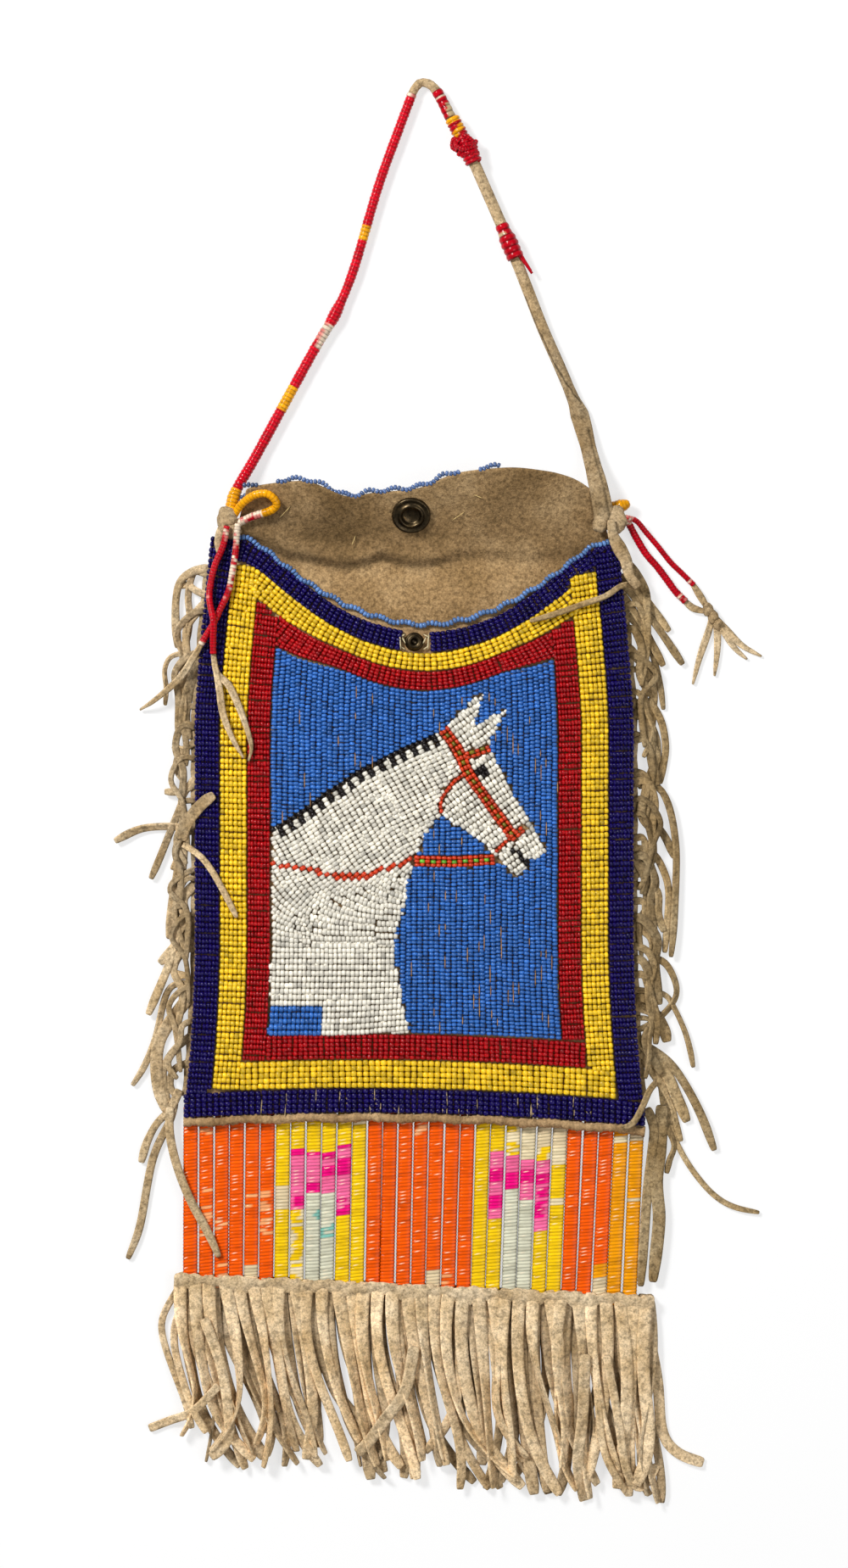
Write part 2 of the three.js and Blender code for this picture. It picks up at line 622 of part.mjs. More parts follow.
const horseOutline = [...maneLine, ...headLine, ...chestLine].map(figurePoint);
const manePoints = maneLine.map(figurePoint);
const maneFoot = manePoints.map(([x, y], i) => {
  const [ax, ay] = manePoints[Math.max(0, i - 1)];
  const [bx, by] = manePoints[Math.min(manePoints.length - 1, i + 1)];
  const run = Math.hypot(bx - ax, by - ay);
  return [x + (maneDepth * (by - ay)) / run, y - (maneDepth * (bx - ax)) / run];
});
const maneOutline = [...manePoints, ...maneFoot.reverse()];

addPart('field_blue', fieldSlab.subtract(prism(horseOutline, clearance)), skyBeads);
const horse = horseSlab.intersect(prism(horseOutline, 0));
addPart('horse_white', horse.subtract(prism(maneOutline, clearance)), whiteBeads);
addPart('horse_mane', horseSlab.intersect(prism(maneOutline, 0)), blackBeads);

// Bridle and rein, a thin strap laid on the white beads
function bridleStrap(route) {
  const points = route.map(figurePoint).map(([x, y]) => {
    return [x, y, beadBase(x, y) + beadHeight + sewnSwell + clearance + bridleHeight / 2];
  });
  return ribbon(points, bridleWidth, bridleHeight);
}

const bridleRoutes = [cheekStrap, browBand, noseBand, reinStrap, neckRein];
addPart('bridle_orange', join(bridleRoutes.map(bridleStrap)), orangeBeads);

// Bead edging of the mouth and of the flap
const edgeSteps = 18;

function edging(left, right, place) {
  const points = [];
  for (let i = 0; i <= edgeSteps; i++) points.push(place(lerp(left, right, i / edgeSteps)));
  return cord(points, edgeBeadRadius, edgeSteps, 6);
}

const edgeOffset = edgeBeadRadius + clearance;
const flapOffset = edgeBeadRadius + 2 * clearance;
const mouthEdging = edging(mouthMiddle - mouthHalfSpan, mouthMiddle + mouthHalfSpan, (x) => {
  const slope = (mouth(x + 1) - mouth(x - 1)) / 2;
  const run = Math.hypot(1, slope);
  const y = mouth(x);
  return [x - (edgeOffset * slope) / run, y + edgeOffset / run, outerZ(x, y) - hide / 2];
});
const flapEdging = edging(1 - flapTopHalfWidth, flapTopHalfWidth - 1, (x) => {
  const y = flapTop(x);
  return [x, y + flapOffset, backUnder(x, y) + backUpright(x, y) / 2 + flapOffset * flapSlope * flapFall(x)];
});
addPart('front_edge_beads', mouthEdging, edgeBeads);
addPart('flap_edge_beads', flapEdging, edgeBeads);

// Slats between the hem and the lower band, and the welt that covers their tops
const slatPitch = (2 * hemHalfWidth) / slatCount;
const slatWidth = slatPitch - slatGap;
const slatColours = [orangeQuill, yellowQuill, orangeQuill, yellowQuill, orangeQuill, yellowQuill];
const slatGroups = [6, 12, 19, 25, 28, 30];

function slatSection() {
  const halfWidth = slatWidth / 2;
  const section = new THREE.Shape();
  section.moveTo(-halfWidth, 0);
  section.lineTo(halfWidth, 0);
  section.lineTo(halfWidth, slatThickness - slatEase);
  section.lineTo(halfWidth - slatEase, slatThickness);
  section.lineTo(-halfWidth + slatEase, slatThickness);
  section.lineTo(-halfWidth, slatThickness - slatEase);
  return section;
}

for (let i = 0; i < slatCount; i++) {
  const x = (i + 0.5) * slatPitch - hemHalfWidth;
  const shift = (-slatLean * i) / (slatCount - 1);
  const top = hem(x) + slatTuck;
  const foot = band(x + shift) - slatTuck;
  const length = Math.hypot(shift, top - foot);
  const bar = new THREE.ExtrudeGeometry(slatSection(), { depth: length, bevelEnabled: false });
  bar.rotateX(Math.PI / 2);
  const group = slatGroups.findIndex((end) => i < end);
  const slat = addPart(`slat_${String(i + 1).padStart(2, '0')}`, solid(bar), slatColours[group]);
  slat.position.set(x, top, slatZ);
  slat.rotation.z = Math.asin(shift / length);
}

const weltPoints = [];
for (let i = 0; i <= 12; i++) {
  const x = lerp(-1, 1, i / 12) * (hemHalfWidth - weltRadius);
  weltPoints.push([x, hem(x) - clearance - weltRadius, weltZ]);
}
addPart('bottom_welt', cord(weltPoints, weltRadius, 12), hideFinish);

// Lower band and its two layers of fringe
const bandHalfWidth = hemHalfWidth + bandOverhang;
const bandZ = slatTop + clearance;

function bandStrip(low, high) {
  const strip = new THREE.BoxGeometry(2, 1, 1, 6, 1, 1);
  return solid(warp(strip, (v) => {
    const x = v.x * bandHalfWidth;
    v.set(x, band(x) + (v.y - 0.5) * bandDepth, v.z > 0 ? high : low);
  }));
}

// One hanging thong: it leaves the band at a height and comes down to its lying height
function fringeThong(index, count, layer, startZ, lieZ) {
  const share = index / (count - 1);
  const x0 = lerp(-1, 1, (index + 0.5) / count) * bandHalfWidth;
  const stray = (kind, range) => (scatter(index, layer + kind) - 0.5) * range;
  const length = lerp(fringeLengthLeft, fringeLengthRight, share) + stray(0, fringeLengthSpread);
  const lean = lerp(fringeLeanLeft, fringeLeanRight, share) + stray(1, fringeLeanSpread);
  const sway = stray(2, fringeSway);
  const top = band(x0) - bandDepth + hide;
  const foot = band(x0) - length;
  const points = fringeStations.map((t) => [
    x0 + lean * t ** fringeLeanPower + sway * Math.sin(1.5 * Math.PI * t),
    lerp(top, foot, t),
    lerp(startZ, lieZ, smooth(t / fringeFall)),
  ]);
  return ribbon(points, thongWidth, fringeThickness);
}

function strayThong([hand, width, route], z) {
  const points = route.map(([inward, below]) => {
    const x = hand ? hand * (bandHalfWidth - inward) : inward;
    return [x, bandLine - bandSlope * hand * bandHalfWidth - below, z];
  });
  return ribbon(points, width);
}

const frontFringe = [bandStrip(bandZ, bandZ + hide)];
for (let i = 0; i < frontThongs; i++) {
  const layer = i % 2;
  const lie = hide + clearance + fringeThickness / 2 + layer * (fringeThickness + clearance);
  frontFringe.push(fringeThong(i, frontThongs, 1, bandZ + hide / 2, lie));
}
for (const stray of strayThongs) frontFringe.push(strayThong(stray, bandZ + hide / 2));
addPart('bottom_fringe_front', join(frontFringe), hideFinish);

const backFringe = [bandStrip(0, hide)];
for (let i = 0; i < backThongs; i++) {
  backFringe.push(fringeThong(i, backThongs, 6, hide / 2, fringeThickness / 2));
}
addPart('bottom_fringe_back', join(backFringe), hideFinish);

// Side fringes: a strip caught in the seam, and thongs that lie beside the pouch or over its front
function overHeight(x, y, out) {
  const surface = y > hem(x) - 3 * weltRadius - 2 * clearance ? beadTop(x, y) : slatTop;
  return lerp(surface + 2 * clearance + hide / 2, slatZ, smooth((out - 1) / thongFallRun));
}

function sideThong(hand, alongToY, [width, over, route], index) {
  const lie = lerp(thongLieLow, thongLieHigh, scatter(index, 3));
  const points = route.map(([out, along]) => {
    const y = alongToY(along);
    const x = sideHalf(y) + out;
    const beside = lerp(slatZ + hide, lie, smooth((out - width / 2 - thongFallStart) / thongFallRun));
    return [hand * x, y, over ? overHeight(hand * x, y, out - width / 2) : beside];
  });
  return ribbon(points, width);
}

function seamStrip(hand) {
  const strip = new THREE.BoxGeometry(1, 1, 1, 1, 12, 1);
  return solid(warp(strip, (v) => {
    const t = v.y + 0.5;
    const y = lerp(hemLine + slatTuck + hide + clearance, bendLine - hide, t);
    const x = sideHalf(y) + lerp(-seamInset, seamOutset, v.x + 0.5);
    v.set(hand * x, y, slatZ + (v.z + 0.5) * slatThickness);
  }));
}

function sideFringe(hand, upper, lower) {
  const fromShoulder = (along) => shoulderLine - along;
  const fromHem = (along) => hemLine + along;
  return join([
    seamStrip(hand),
    ...upper.map((row, i) => sideThong(hand, fromShoulder, row, i)),
    ...lower.map((row, i) => sideThong(hand, fromHem, row, upper.length + i)),
  ]);
}

addPart('left_side_fringe', sideFringe(-1, leftUpperThongs, leftLowerThongs), hideFinish);
addPart('right_side_fringe', sideFringe(1, rightUpperThongs, rightLowerThongs), hideFinish);

// Handle: one hide thong, and the quill wraps round it
const handleThin = [...handleLeft, ...handleBend, handleRight[0]];
const handleThick = [...handleRight, ...handleLower];
const strapPoints = [...strapRoute, ...strapEnd];
addPart('handle_thong', join([
  cord(handleThin, thongRadius, 24), cord(handleThick, rollRadius, 9), ribbon(strapPoints, strapWidth),
]), hideFinish);
addPart('handle_left_wrap', sleeve(handleLeft.slice(1), thongRadius, wrapThickness, 12), redQuill);
addPart('handle_upper_wrap', sleeve(upperWrapRoute, rollRadius, knotWrapThickness, 2), redQuill);
addPart('handle_lower_wrap', sleeve(lowerWrapRoute, rollRadius, wrapThickness, 2), redQuill);

// Left corner: a yellow loop with its tie, and two pendants over the front
const onFlap = ([x, y], radius) => [x, y, backTop(x, y) + clearance + flapLift * radius];
const onBeads = ([x, y], height) => [x, y, beadTop(x, y) + 2 * clearance + height];
const tie = new THREE.SphereGeometry(tieRadius, 8, 6);
tie.translate(...onFlap(tieSpot, tieRadius));
addPart('left_loop', join([
  solid(tie), cord(leftLoopRoute.map((p) => onFlap(p, quillRadius)), quillRadius, 9, 6),
]), yellowQuill);
const cordA = cord(pendantRouteA.map((p) => onBeads(p, quillRadius)), quillRadius, 11, 6);
const tailA = ribbon(pendantTailA.map((p) => onBeads(p, hide / 2)), tailWidth);
const splitA = ribbon(pendantSplitA.map((p) => onBeads(p, hide / 2)), tailWidth);
addPart('left_pendant_a', join([cordA, tailA, splitA]), redQuill);
const routeB = [...pendantRouteB.map((p) => onBeads(p, quillRadius)), ...pendantCrossB];
const cordB = cord(routeB, quillRadius, 11, 6);
addPart('left_pendant_b', join([cordB, ribbon(pendantTailB, tailWidth)]), redQuill);

// Right corner: a yellow nub and two pendant legs that end in hide tails
addPart('right_loop', cord(nubRoute, quillRadius, 4), yellowQuill);
addPart('right_pendant_a', join([
  cord(legRouteA, legRadius, 8, 6), ribbon(joinRouteA, tailWidth), ...tailsA.map((t) => ribbon(t, tailWidth)),
]), redQuill);
addPart('right_pendant_b', join([
  cord(legRouteB, legRadius, 8, 6), ...tailsB.map((t) => ribbon(t, tailWidth)),
]), redQuill);

// Snap: the socket lies on the flap's face, its cap is behind the flap with a post through the hide
const seat = hide / 2 + clearance;
addPart('snap_socket', turned([
  [postRadius + clearance, seat], [socketRadius, seat], [socketRadius, seat + 0.4 * socketHeight],
  [0.85 * socketRadius, seat + 0.75 * socketHeight], [0.7 * socketRadius, seat + 0.55 * socketHeight],
  [0.55 * socketRadius, seat + socketHeight], [studRadius + clearance, seat + 0.9 * socketHeight],
  [postRadius + clearance, seat + 0.4 * socketHeight], [postRadius + clearance, seat],
]), snapMetal, snapGroup);
addPart('snap_cap', turned([
  [0, -seat - 0.8 * socketHeight], [0.6 * socketRadius, -seat - 0.7 * socketHeight],
  [socketRadius, -seat - 0.3 * socketHeight], [socketRadius, -seat], [postRadius, -seat],
  [postRadius, seat + 0.3 * socketHeight], [0, seat + 0.3 * socketHeight],
]), snapMetal, snapGroup);

// The stud is a collar on the front panel, held by an eyelet from inside the pouch
addPart('snap_stud', turned([
  [postRadius + clearance, clearance],
  [studRadius + studFlange, clearance], [studRadius + studFlange, clearance + studFlange],
  [0.85 * studRadius, clearance + 1.6 * studFlange], [studRadius, 0.8 * studHeight],
  [0.9 * studRadius, studHeight],
  [postRadius + clearance, studHeight], [postRadius + clearance, clearance],
]), snapMetal, studGroup);
const eyeletTop = -hide - clearance;
addPart('snap_eyelet', turned([
  [0.5 * postRadius, eyeletTop - eyeletPlate], [eyeletRadius, eyeletTop - eyeletPlate],
  [eyeletRadius, eyeletTop], [postRadius, eyeletTop], [postRadius, studHeight],
  [0.5 * postRadius, studHeight], [0.5 * postRadius, eyeletTop - eyeletPlate],
]), snapMetal, studGroup);

export default bag;
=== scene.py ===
import json
import math

import bmesh
import bpy
import numpy as np
from mathutils import Matrix, Vector
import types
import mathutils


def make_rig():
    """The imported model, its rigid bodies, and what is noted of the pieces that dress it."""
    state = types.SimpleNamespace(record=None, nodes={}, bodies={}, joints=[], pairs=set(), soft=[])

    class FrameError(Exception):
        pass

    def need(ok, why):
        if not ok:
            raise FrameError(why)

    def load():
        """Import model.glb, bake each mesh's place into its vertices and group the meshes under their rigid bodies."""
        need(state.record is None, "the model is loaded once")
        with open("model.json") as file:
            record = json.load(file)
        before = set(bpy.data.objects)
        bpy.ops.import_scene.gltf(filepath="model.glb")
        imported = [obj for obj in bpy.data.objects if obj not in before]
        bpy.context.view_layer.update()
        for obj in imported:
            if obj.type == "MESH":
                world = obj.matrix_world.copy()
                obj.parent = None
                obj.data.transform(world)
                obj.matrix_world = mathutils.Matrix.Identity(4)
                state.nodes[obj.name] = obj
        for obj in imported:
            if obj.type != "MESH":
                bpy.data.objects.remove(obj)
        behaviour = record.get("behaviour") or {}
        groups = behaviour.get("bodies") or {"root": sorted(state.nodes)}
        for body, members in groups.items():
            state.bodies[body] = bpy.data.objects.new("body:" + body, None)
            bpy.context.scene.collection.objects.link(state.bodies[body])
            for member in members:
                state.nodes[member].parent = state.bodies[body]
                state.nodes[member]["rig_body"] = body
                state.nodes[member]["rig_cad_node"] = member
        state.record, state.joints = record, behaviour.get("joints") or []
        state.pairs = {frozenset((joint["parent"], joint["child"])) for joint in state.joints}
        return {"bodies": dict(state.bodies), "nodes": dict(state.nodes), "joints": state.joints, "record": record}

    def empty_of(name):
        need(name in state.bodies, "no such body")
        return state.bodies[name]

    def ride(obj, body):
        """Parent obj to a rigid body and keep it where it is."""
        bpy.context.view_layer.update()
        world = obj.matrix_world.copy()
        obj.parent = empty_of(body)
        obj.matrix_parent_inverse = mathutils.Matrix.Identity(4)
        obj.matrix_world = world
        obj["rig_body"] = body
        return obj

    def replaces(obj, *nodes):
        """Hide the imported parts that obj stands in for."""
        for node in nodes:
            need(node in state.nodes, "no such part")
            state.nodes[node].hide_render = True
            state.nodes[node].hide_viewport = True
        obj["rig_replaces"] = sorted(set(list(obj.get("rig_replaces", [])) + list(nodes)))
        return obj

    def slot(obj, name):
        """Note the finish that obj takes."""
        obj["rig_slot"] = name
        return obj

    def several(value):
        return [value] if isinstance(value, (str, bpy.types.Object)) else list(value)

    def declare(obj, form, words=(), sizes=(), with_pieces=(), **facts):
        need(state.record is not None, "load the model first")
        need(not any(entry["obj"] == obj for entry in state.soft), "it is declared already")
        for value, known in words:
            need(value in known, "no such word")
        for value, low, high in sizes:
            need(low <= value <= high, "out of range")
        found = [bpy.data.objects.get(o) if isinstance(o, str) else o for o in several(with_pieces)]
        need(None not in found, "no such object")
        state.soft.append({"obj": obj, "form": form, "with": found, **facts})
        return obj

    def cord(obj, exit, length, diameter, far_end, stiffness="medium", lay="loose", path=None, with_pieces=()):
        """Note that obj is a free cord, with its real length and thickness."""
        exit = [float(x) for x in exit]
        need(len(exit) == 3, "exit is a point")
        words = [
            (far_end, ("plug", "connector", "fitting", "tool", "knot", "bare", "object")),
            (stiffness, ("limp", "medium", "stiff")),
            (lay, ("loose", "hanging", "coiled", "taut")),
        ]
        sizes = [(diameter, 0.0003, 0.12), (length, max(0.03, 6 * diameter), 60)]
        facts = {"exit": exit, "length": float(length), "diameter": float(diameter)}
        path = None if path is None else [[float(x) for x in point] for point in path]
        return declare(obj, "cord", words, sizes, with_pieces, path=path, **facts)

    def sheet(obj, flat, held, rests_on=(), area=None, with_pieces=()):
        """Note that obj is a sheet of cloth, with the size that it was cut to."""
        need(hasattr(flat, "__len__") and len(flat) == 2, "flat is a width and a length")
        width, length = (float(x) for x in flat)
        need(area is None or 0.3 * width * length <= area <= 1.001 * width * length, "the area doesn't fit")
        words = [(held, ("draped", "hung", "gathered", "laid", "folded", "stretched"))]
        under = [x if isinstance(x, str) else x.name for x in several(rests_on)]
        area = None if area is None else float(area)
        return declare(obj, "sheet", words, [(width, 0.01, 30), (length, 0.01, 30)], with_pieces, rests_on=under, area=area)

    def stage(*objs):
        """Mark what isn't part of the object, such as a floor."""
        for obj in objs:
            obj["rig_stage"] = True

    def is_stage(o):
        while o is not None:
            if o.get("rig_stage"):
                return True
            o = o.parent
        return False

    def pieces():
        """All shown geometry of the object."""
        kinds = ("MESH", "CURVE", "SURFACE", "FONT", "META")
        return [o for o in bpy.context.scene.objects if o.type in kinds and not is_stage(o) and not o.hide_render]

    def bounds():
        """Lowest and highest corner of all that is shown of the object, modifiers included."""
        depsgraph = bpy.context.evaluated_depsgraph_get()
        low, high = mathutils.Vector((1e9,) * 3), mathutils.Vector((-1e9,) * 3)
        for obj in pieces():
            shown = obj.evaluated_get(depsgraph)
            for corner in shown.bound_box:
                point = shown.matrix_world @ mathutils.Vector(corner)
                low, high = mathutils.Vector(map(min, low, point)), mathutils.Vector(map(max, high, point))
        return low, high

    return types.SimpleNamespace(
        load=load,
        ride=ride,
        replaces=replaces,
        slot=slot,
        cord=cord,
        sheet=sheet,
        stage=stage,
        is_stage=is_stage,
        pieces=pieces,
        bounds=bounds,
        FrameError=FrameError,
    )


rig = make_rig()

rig.load()
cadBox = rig.bounds()
scene = bpy.context.scene
scene.view_settings.view_transform = "Standard"
mm = 0.001  # shapes below are in millimetres until a piece is finished

# camera, straight above the bag
shot = {"lens": 100, "sensor": 36, "height": 1.444, "aim": (0.00322, 0.01554), "nearest": 0.05}
lens = bpy.data.cameras.new("camera")
lens.lens = shot["lens"]
lens.sensor_width = shot["sensor"]
lens.clip_start = shot["nearest"]
camera = bpy.data.objects.new("camera", lens)
camera.location = (*shot["aim"], shot["height"])
scene.collection.objects.link(camera)
scene.camera = camera


# small helpers
def clamp(v, low=0.0, high=1.0):
    return max(low, min(high, v))


def lerp(a, b, t):
    return a + (b - a) * t


def smooth(t):
    c = clamp(t)
    return c * c * (3 - 2 * c)


def scatter(index, kind):  # repeatable, between 0 and 1
    wave = math.sin(index * 12.9898 + kind * 78.233) * 43758.5453
    return wave - math.floor(wave)


def paint(r, g, b):  # a screen colour as the shader wants it
    return tuple((c / 255 / 12.92 if c <= 10 else ((c / 255 + 0.055) / 1.055) ** 2.4) for c in (r, g, b))


def shade(colour, amount):
    return tuple(c * amount for c in colour)


def smoothRoute(points, steps):  # evenly spaced points on a smooth curve through the given ones
    given = [Vector(p) for p in points]
    given = [2 * given[0] - given[1], *given, 2 * given[-1] - given[-2]]
    fine, perSpan = [], 16
    for p0, p1, p2, p3 in zip(given, given[1:], given[2:], given[3:]):
        for k in range(perSpan):
            t = k / perSpan
            fine.append(0.5 * (2 * p1 + (p2 - p0) * t + (2 * p0 - 5 * p1 + 4 * p2 - p3) * t * t
                               + (3 * p1 - p0 - 3 * p2 + p3) * t ** 3))
    fine.append(given[-2])
    run = [0.0]
    for a, b in zip(fine, fine[1:]):
        run.append(run[-1] + (b - a).length)
    even = np.linspace(0, run[-1], steps + 1)
    columns = [np.interp(even, run, [p[k] for p in fine]) for k in range(len(fine[0]))]
    return [Vector(p) for p in zip(*columns)]


def routeLength(points):
    return sum((b - a).length for a, b in zip(points, points[1:]))


def alongRoute(points, share):  # point and direction at a share of an even route
    place = clamp(share) * (len(points) - 1)
    i = min(int(place), len(points) - 2)
    before, after = points[max(0, i - 1)], points[min(len(points) - 1, i + 2)]
    return points[i].lerp(points[i + 1], place - i), (after - before).normalized()


# the pouch's own shape, as in the part's source
pouch = {
    "hide": 1.2, "clearance": 0.3, "hemHalf": 76.5, "waistHalf": 72.8, "shoulderHalf": 67.4,
    "hemLine": -93.5, "flareStart": -30, "taperStart": 35, "shoulderLine": 96.5,
    "hemDrop": 3, "hemSkew": 1.4, "taperPower": 1.3,
    "mouthDepth": 28.7, "mouthHalfSpan": 57, "mouthMiddle": 3, "mouthPower": 1.9, "mouthRounding": 0.12,
    "shoulderSkew": 0.9, "seamZ": 3.4, "slatZ": 1.5, "slatTop": 3.1,
    "crown": 7, "crownRun": 95, "crownPower": 3, "bendLine": 86, "bendRun": 12,
    "flapSlope": 0.6, "flapHalf": 60.5, "flapTopHalf": 55.5, "flapSideFall": 0.45, "flapPeak": 116.5,
    "narrowStart": 8, "narrowRun": 10, "bandLine": -150, "bandSlope": 0.046,
}
hide, clearance = pouch["hide"], pouch["clearance"]
hemLine, shoulderLine, slatTop = pouch["hemLine"], pouch["shoulderLine"], pouch["slatTop"]


def sideHalf(y):
    flare = clamp((pouch["flareStart"] - y) / (pouch["flareStart"] - hemLine)) ** 2
    taper = clamp((y - pouch["taperStart"]) / (shoulderLine - pouch["taperStart"])) ** pouch["taperPower"]
    waist = pouch["waistHalf"]
    return waist + (pouch["hemHalf"] - waist) * flare - (waist - pouch["shoulderHalf"]) * taper


def hem(x):
    u = x / pouch["hemHalf"]
    return hemLine - pouch["hemDrop"] * u * u - pouch["hemSkew"] * u


def mouth(x):
    soft = pouch["mouthRounding"]
    out = abs(x - pouch["mouthMiddle"]) / pouch["mouthHalfSpan"]
    past = clamp(out - 1 + soft, 0, 2 * soft)
    s = min(out, 1 + soft) - past * past / (4 * soft)
    return (shoulderLine - pouch["mouthDepth"] * (1 - s ** pouch["mouthPower"])
            - pouch["shoulderSkew"] * x / pouch["shoulderHalf"])


def band(x):
    return pouch["bandLine"] - pouch["bandSlope"] * x


def frontPoint(u, t):
    x, y = 0.0, lerp(hemLine, shoulderLine, t)
    for _ in range(4):
        x = u * sideHalf(y)
        y = lerp(hem(x), mouth(x), t)
    return x, y


def frontZ(x, y):  # top of the front hide
    u = min(1, abs(x) / sideHalf(y))
    rise = pouch["crown"] * (1 - u ** pouch["crownPower"]) * smooth((y - hemLine) / pouch["crownRun"])
    return pouch["seamZ"] + rise + hide


flapEdge = [(-60, 110), (-57, 111.9), (-52.8, 113.4), (-46, 114.3), (-40, 114.8), (-34.6, 114.6),
            (-28.6, 112.3), (-21.6, 109.6), (-14, 110.9), (-3, 111.8), (3.2, 112.9), (8.8, 115.4),
            (16, 117.6), (31, 119), (42.4, 118.2), (48, 117.3), (53.5, 115.6), (57.5, 113.2), (60, 111)]
flapEdgeRoute = smoothRoute(flapEdge, 160)


def flapTop(x):
    return float(np.interp(x, [p.x for p in flapEdgeRoute], [p.y for p in flapEdgeRoute]))


def backZ(x, y):  # top of the back hide, which curls up at the flap
    d = max(0, y - pouch["bendLine"])
    run = pouch["bendRun"]
    rise = pouch["flapSlope"] * (d * d / (2 * run) if d < run else d - run / 2)
    fall = 1 - pouch["flapSideFall"] * min(1, abs(x) / pouch["flapHalf"]) ** 3
    slope = pouch["flapSlope"] * clamp(d / run) * fall
    return rise * fall + hide * math.hypot(1, slope)


def backHalf(y):
    narrowing = smooth((y - shoulderLine + pouch["narrowStart"]) / pouch["narrowRun"])
    rising = clamp((y - shoulderLine) / (pouch["flapPeak"] - shoulderLine))
    return lerp(sideHalf(y), lerp(pouch["flapHalf"], pouch["flapTopHalf"], rising), narrowing)


# materials
def newFinish(name, roughness, **sockets):
    made = bpy.data.materials.new(name)
    made.use_nodes = True
    nodes, link = made.node_tree.nodes, made.node_tree.links.new
    shader = nodes["Principled BSDF"]
    shader.inputs["Roughness"].default_value = roughness
    for socket, value in sockets.items():
        shader.inputs[socket.replace("_", " ")].default_value = value
    return made, nodes, link, shader


def noiseOf(nodes, link, coords, scale, detail=3.0, rough=0.6, stretch=(1, 1, 1)):
    turn = nodes.new("ShaderNodeMapping")
    turn.inputs["Scale"].default_value = stretch
    link(coords, turn.inputs["Vector"])
    tex = nodes.new("ShaderNodeTexNoise")
    tex.inputs["Scale"].default_value = scale
    tex.inputs["Detail"].default_value = detail
    tex.inputs["Roughness"].default_value = rough
    link(turn.outputs["Vector"], tex.inputs["Vector"])
    return tex.outputs["Fac"]


def placeOf(nodes):
    return nodes.new("ShaderNodeTexCoord").outputs["Object"]


def layerOf(nodes, name):  # a colour kept on the vertices
    layer = nodes.new("ShaderNodeAttribute")
    layer.attribute_name = name
    return layer.outputs["Color"]


def rampOf(nodes, link, fac, stops):
    ramp = nodes.new("ShaderNodeValToRGB")
    points = ramp.color_ramp.elements
    while len(points) < len(stops):
        points.new(0.5)
    for point, (place, colour) in zip(points, stops):
        point.position = place
        point.color = (*colour, 1)
    link(fac, ramp.inputs["Fac"])
    return ramp.outputs["Color"]


def mixOf(nodes, link, kind, a, b, fac):
    mix = nodes.new("ShaderNodeMix")
    mix.data_type = "RGBA"
    mix.blend_type = kind
    if isinstance(fac, float):
        mix.inputs["Factor"].default_value = fac
    else:
        link(fac, mix.inputs["Factor"])
    for socket, value in ((mix.inputs["A"], a), (mix.inputs["B"], b)):
        if isinstance(value, tuple):
            socket.default_value = (*value, 1)
        else:
            link(value, socket)
    return mix.outputs["Result"]


def bumpOf(nodes, link, height, strength, distance, before=None):
    bump = nodes.new("ShaderNodeBump")
    bump.inputs["Strength"].default_value = strength
    bump.inputs["Distance"].default_value = distance
    link(height, bump.inputs["Height"])
    if before is not None:
        link(before, bump.inputs["Normal"])
    return bump.outputs["Normal"]


def suede(name, dark, middle, light, patchScale, spotScale, darkSpot, lightSpot, napScale=1500.0):
    made, nodes, link, shader = newFinish(name, 0.95, Sheen_Weight=0.06, Sheen_Roughness=0.5,
                                          Specular_IOR_Level=0.05)
    place = placeOf(nodes)
    patches = noiseOf(nodes, link, place, patchScale, 4.0, 0.6)
    blotches = noiseOf(nodes, link, place, spotScale, 4.0, 0.65)
    nap = noiseOf(nodes, link, place, napScale, 2.0, 0.7)
    body = rampOf(nodes, link, patches, [(0.32, dark), (0.5, middle), (0.68, light)])
    spots = rampOf(nodes, link, blotches,
                   [(0.36, (darkSpot,) * 3), (0.5, (1, 1, 1)), (0.64, (lightSpot,) * 3)])
    grain = rampOf(nodes, link, nap,
                   [(0.32, (0.72, 0.7, 0.67)), (0.5, (1, 1, 1)), (0.68, (1.26, 1.26, 1.26))])
    colour = body
    for layer in (spots, grain, layerOf(nodes, "tone")):
        colour = mixOf(nodes, link, "MULTIPLY", colour, layer, 1.0)
    link(colour, shader.inputs["Base Color"])
    rough = bumpOf(nodes, link, blotches, 0.45, 0.0006)
    link(bumpOf(nodes, link, nap, 0.6, 0.0004, rough), shader.inputs["Normal"])
    return made


def beadGlass(name, roughness, coat, gloss):
    made, nodes, link, shader = newFinish(name, roughness, Coat_Weight=coat, Coat_Roughness=0.08,
                                          Specular_IOR_Level=gloss)
    clouds = noiseOf(nodes, link, placeOf(nodes), 900.0, 2.0)
    cloud = rampOf(nodes, link, clouds, [(0.3, (0.82, 0.82, 0.82)), (0.7, (1.12, 1.12, 1.12))])
    link(mixOf(nodes, link, "MULTIPLY", layerOf(nodes, "dye"), cloud, 1.0), shader.inputs["Base Color"])
    return made


def quillWork(name, gloss):
    made, nodes, link, shader = newFinish(name, 0.2, Specular_IOR_Level=gloss)
    place = placeOf(nodes)
    streak = noiseOf(nodes, link, place, 500.0, 3.0, 0.7, (0.35, 1.6, 1))
    fleck = noiseOf(nodes, link, place, 300.0, 4.0, 0.7)
    tint = rampOf(nodes, link, streak, [(0.3, (0.74, 0.72, 0.68)), (0.5, (1, 1, 1)), (0.72, (1.1, 1.1, 1.1))])
    colour = mixOf(nodes, link, "MULTIPLY", layerOf(nodes, "dye"), tint, 1.0)
    bare = rampOf(nodes, link, fleck, [(0.73, (0, 0, 0)), (0.8, (0.6, 0.6, 0.6))])
    colour = mixOf(nodes, link, "MIX", colour, paint(246, 222, 184), bare)
    link(colour, shader.inputs["Base Color"])
    link(bumpOf(nodes, link, streak, 0.3, 0.0003), shader.inputs["Normal"])
    return made


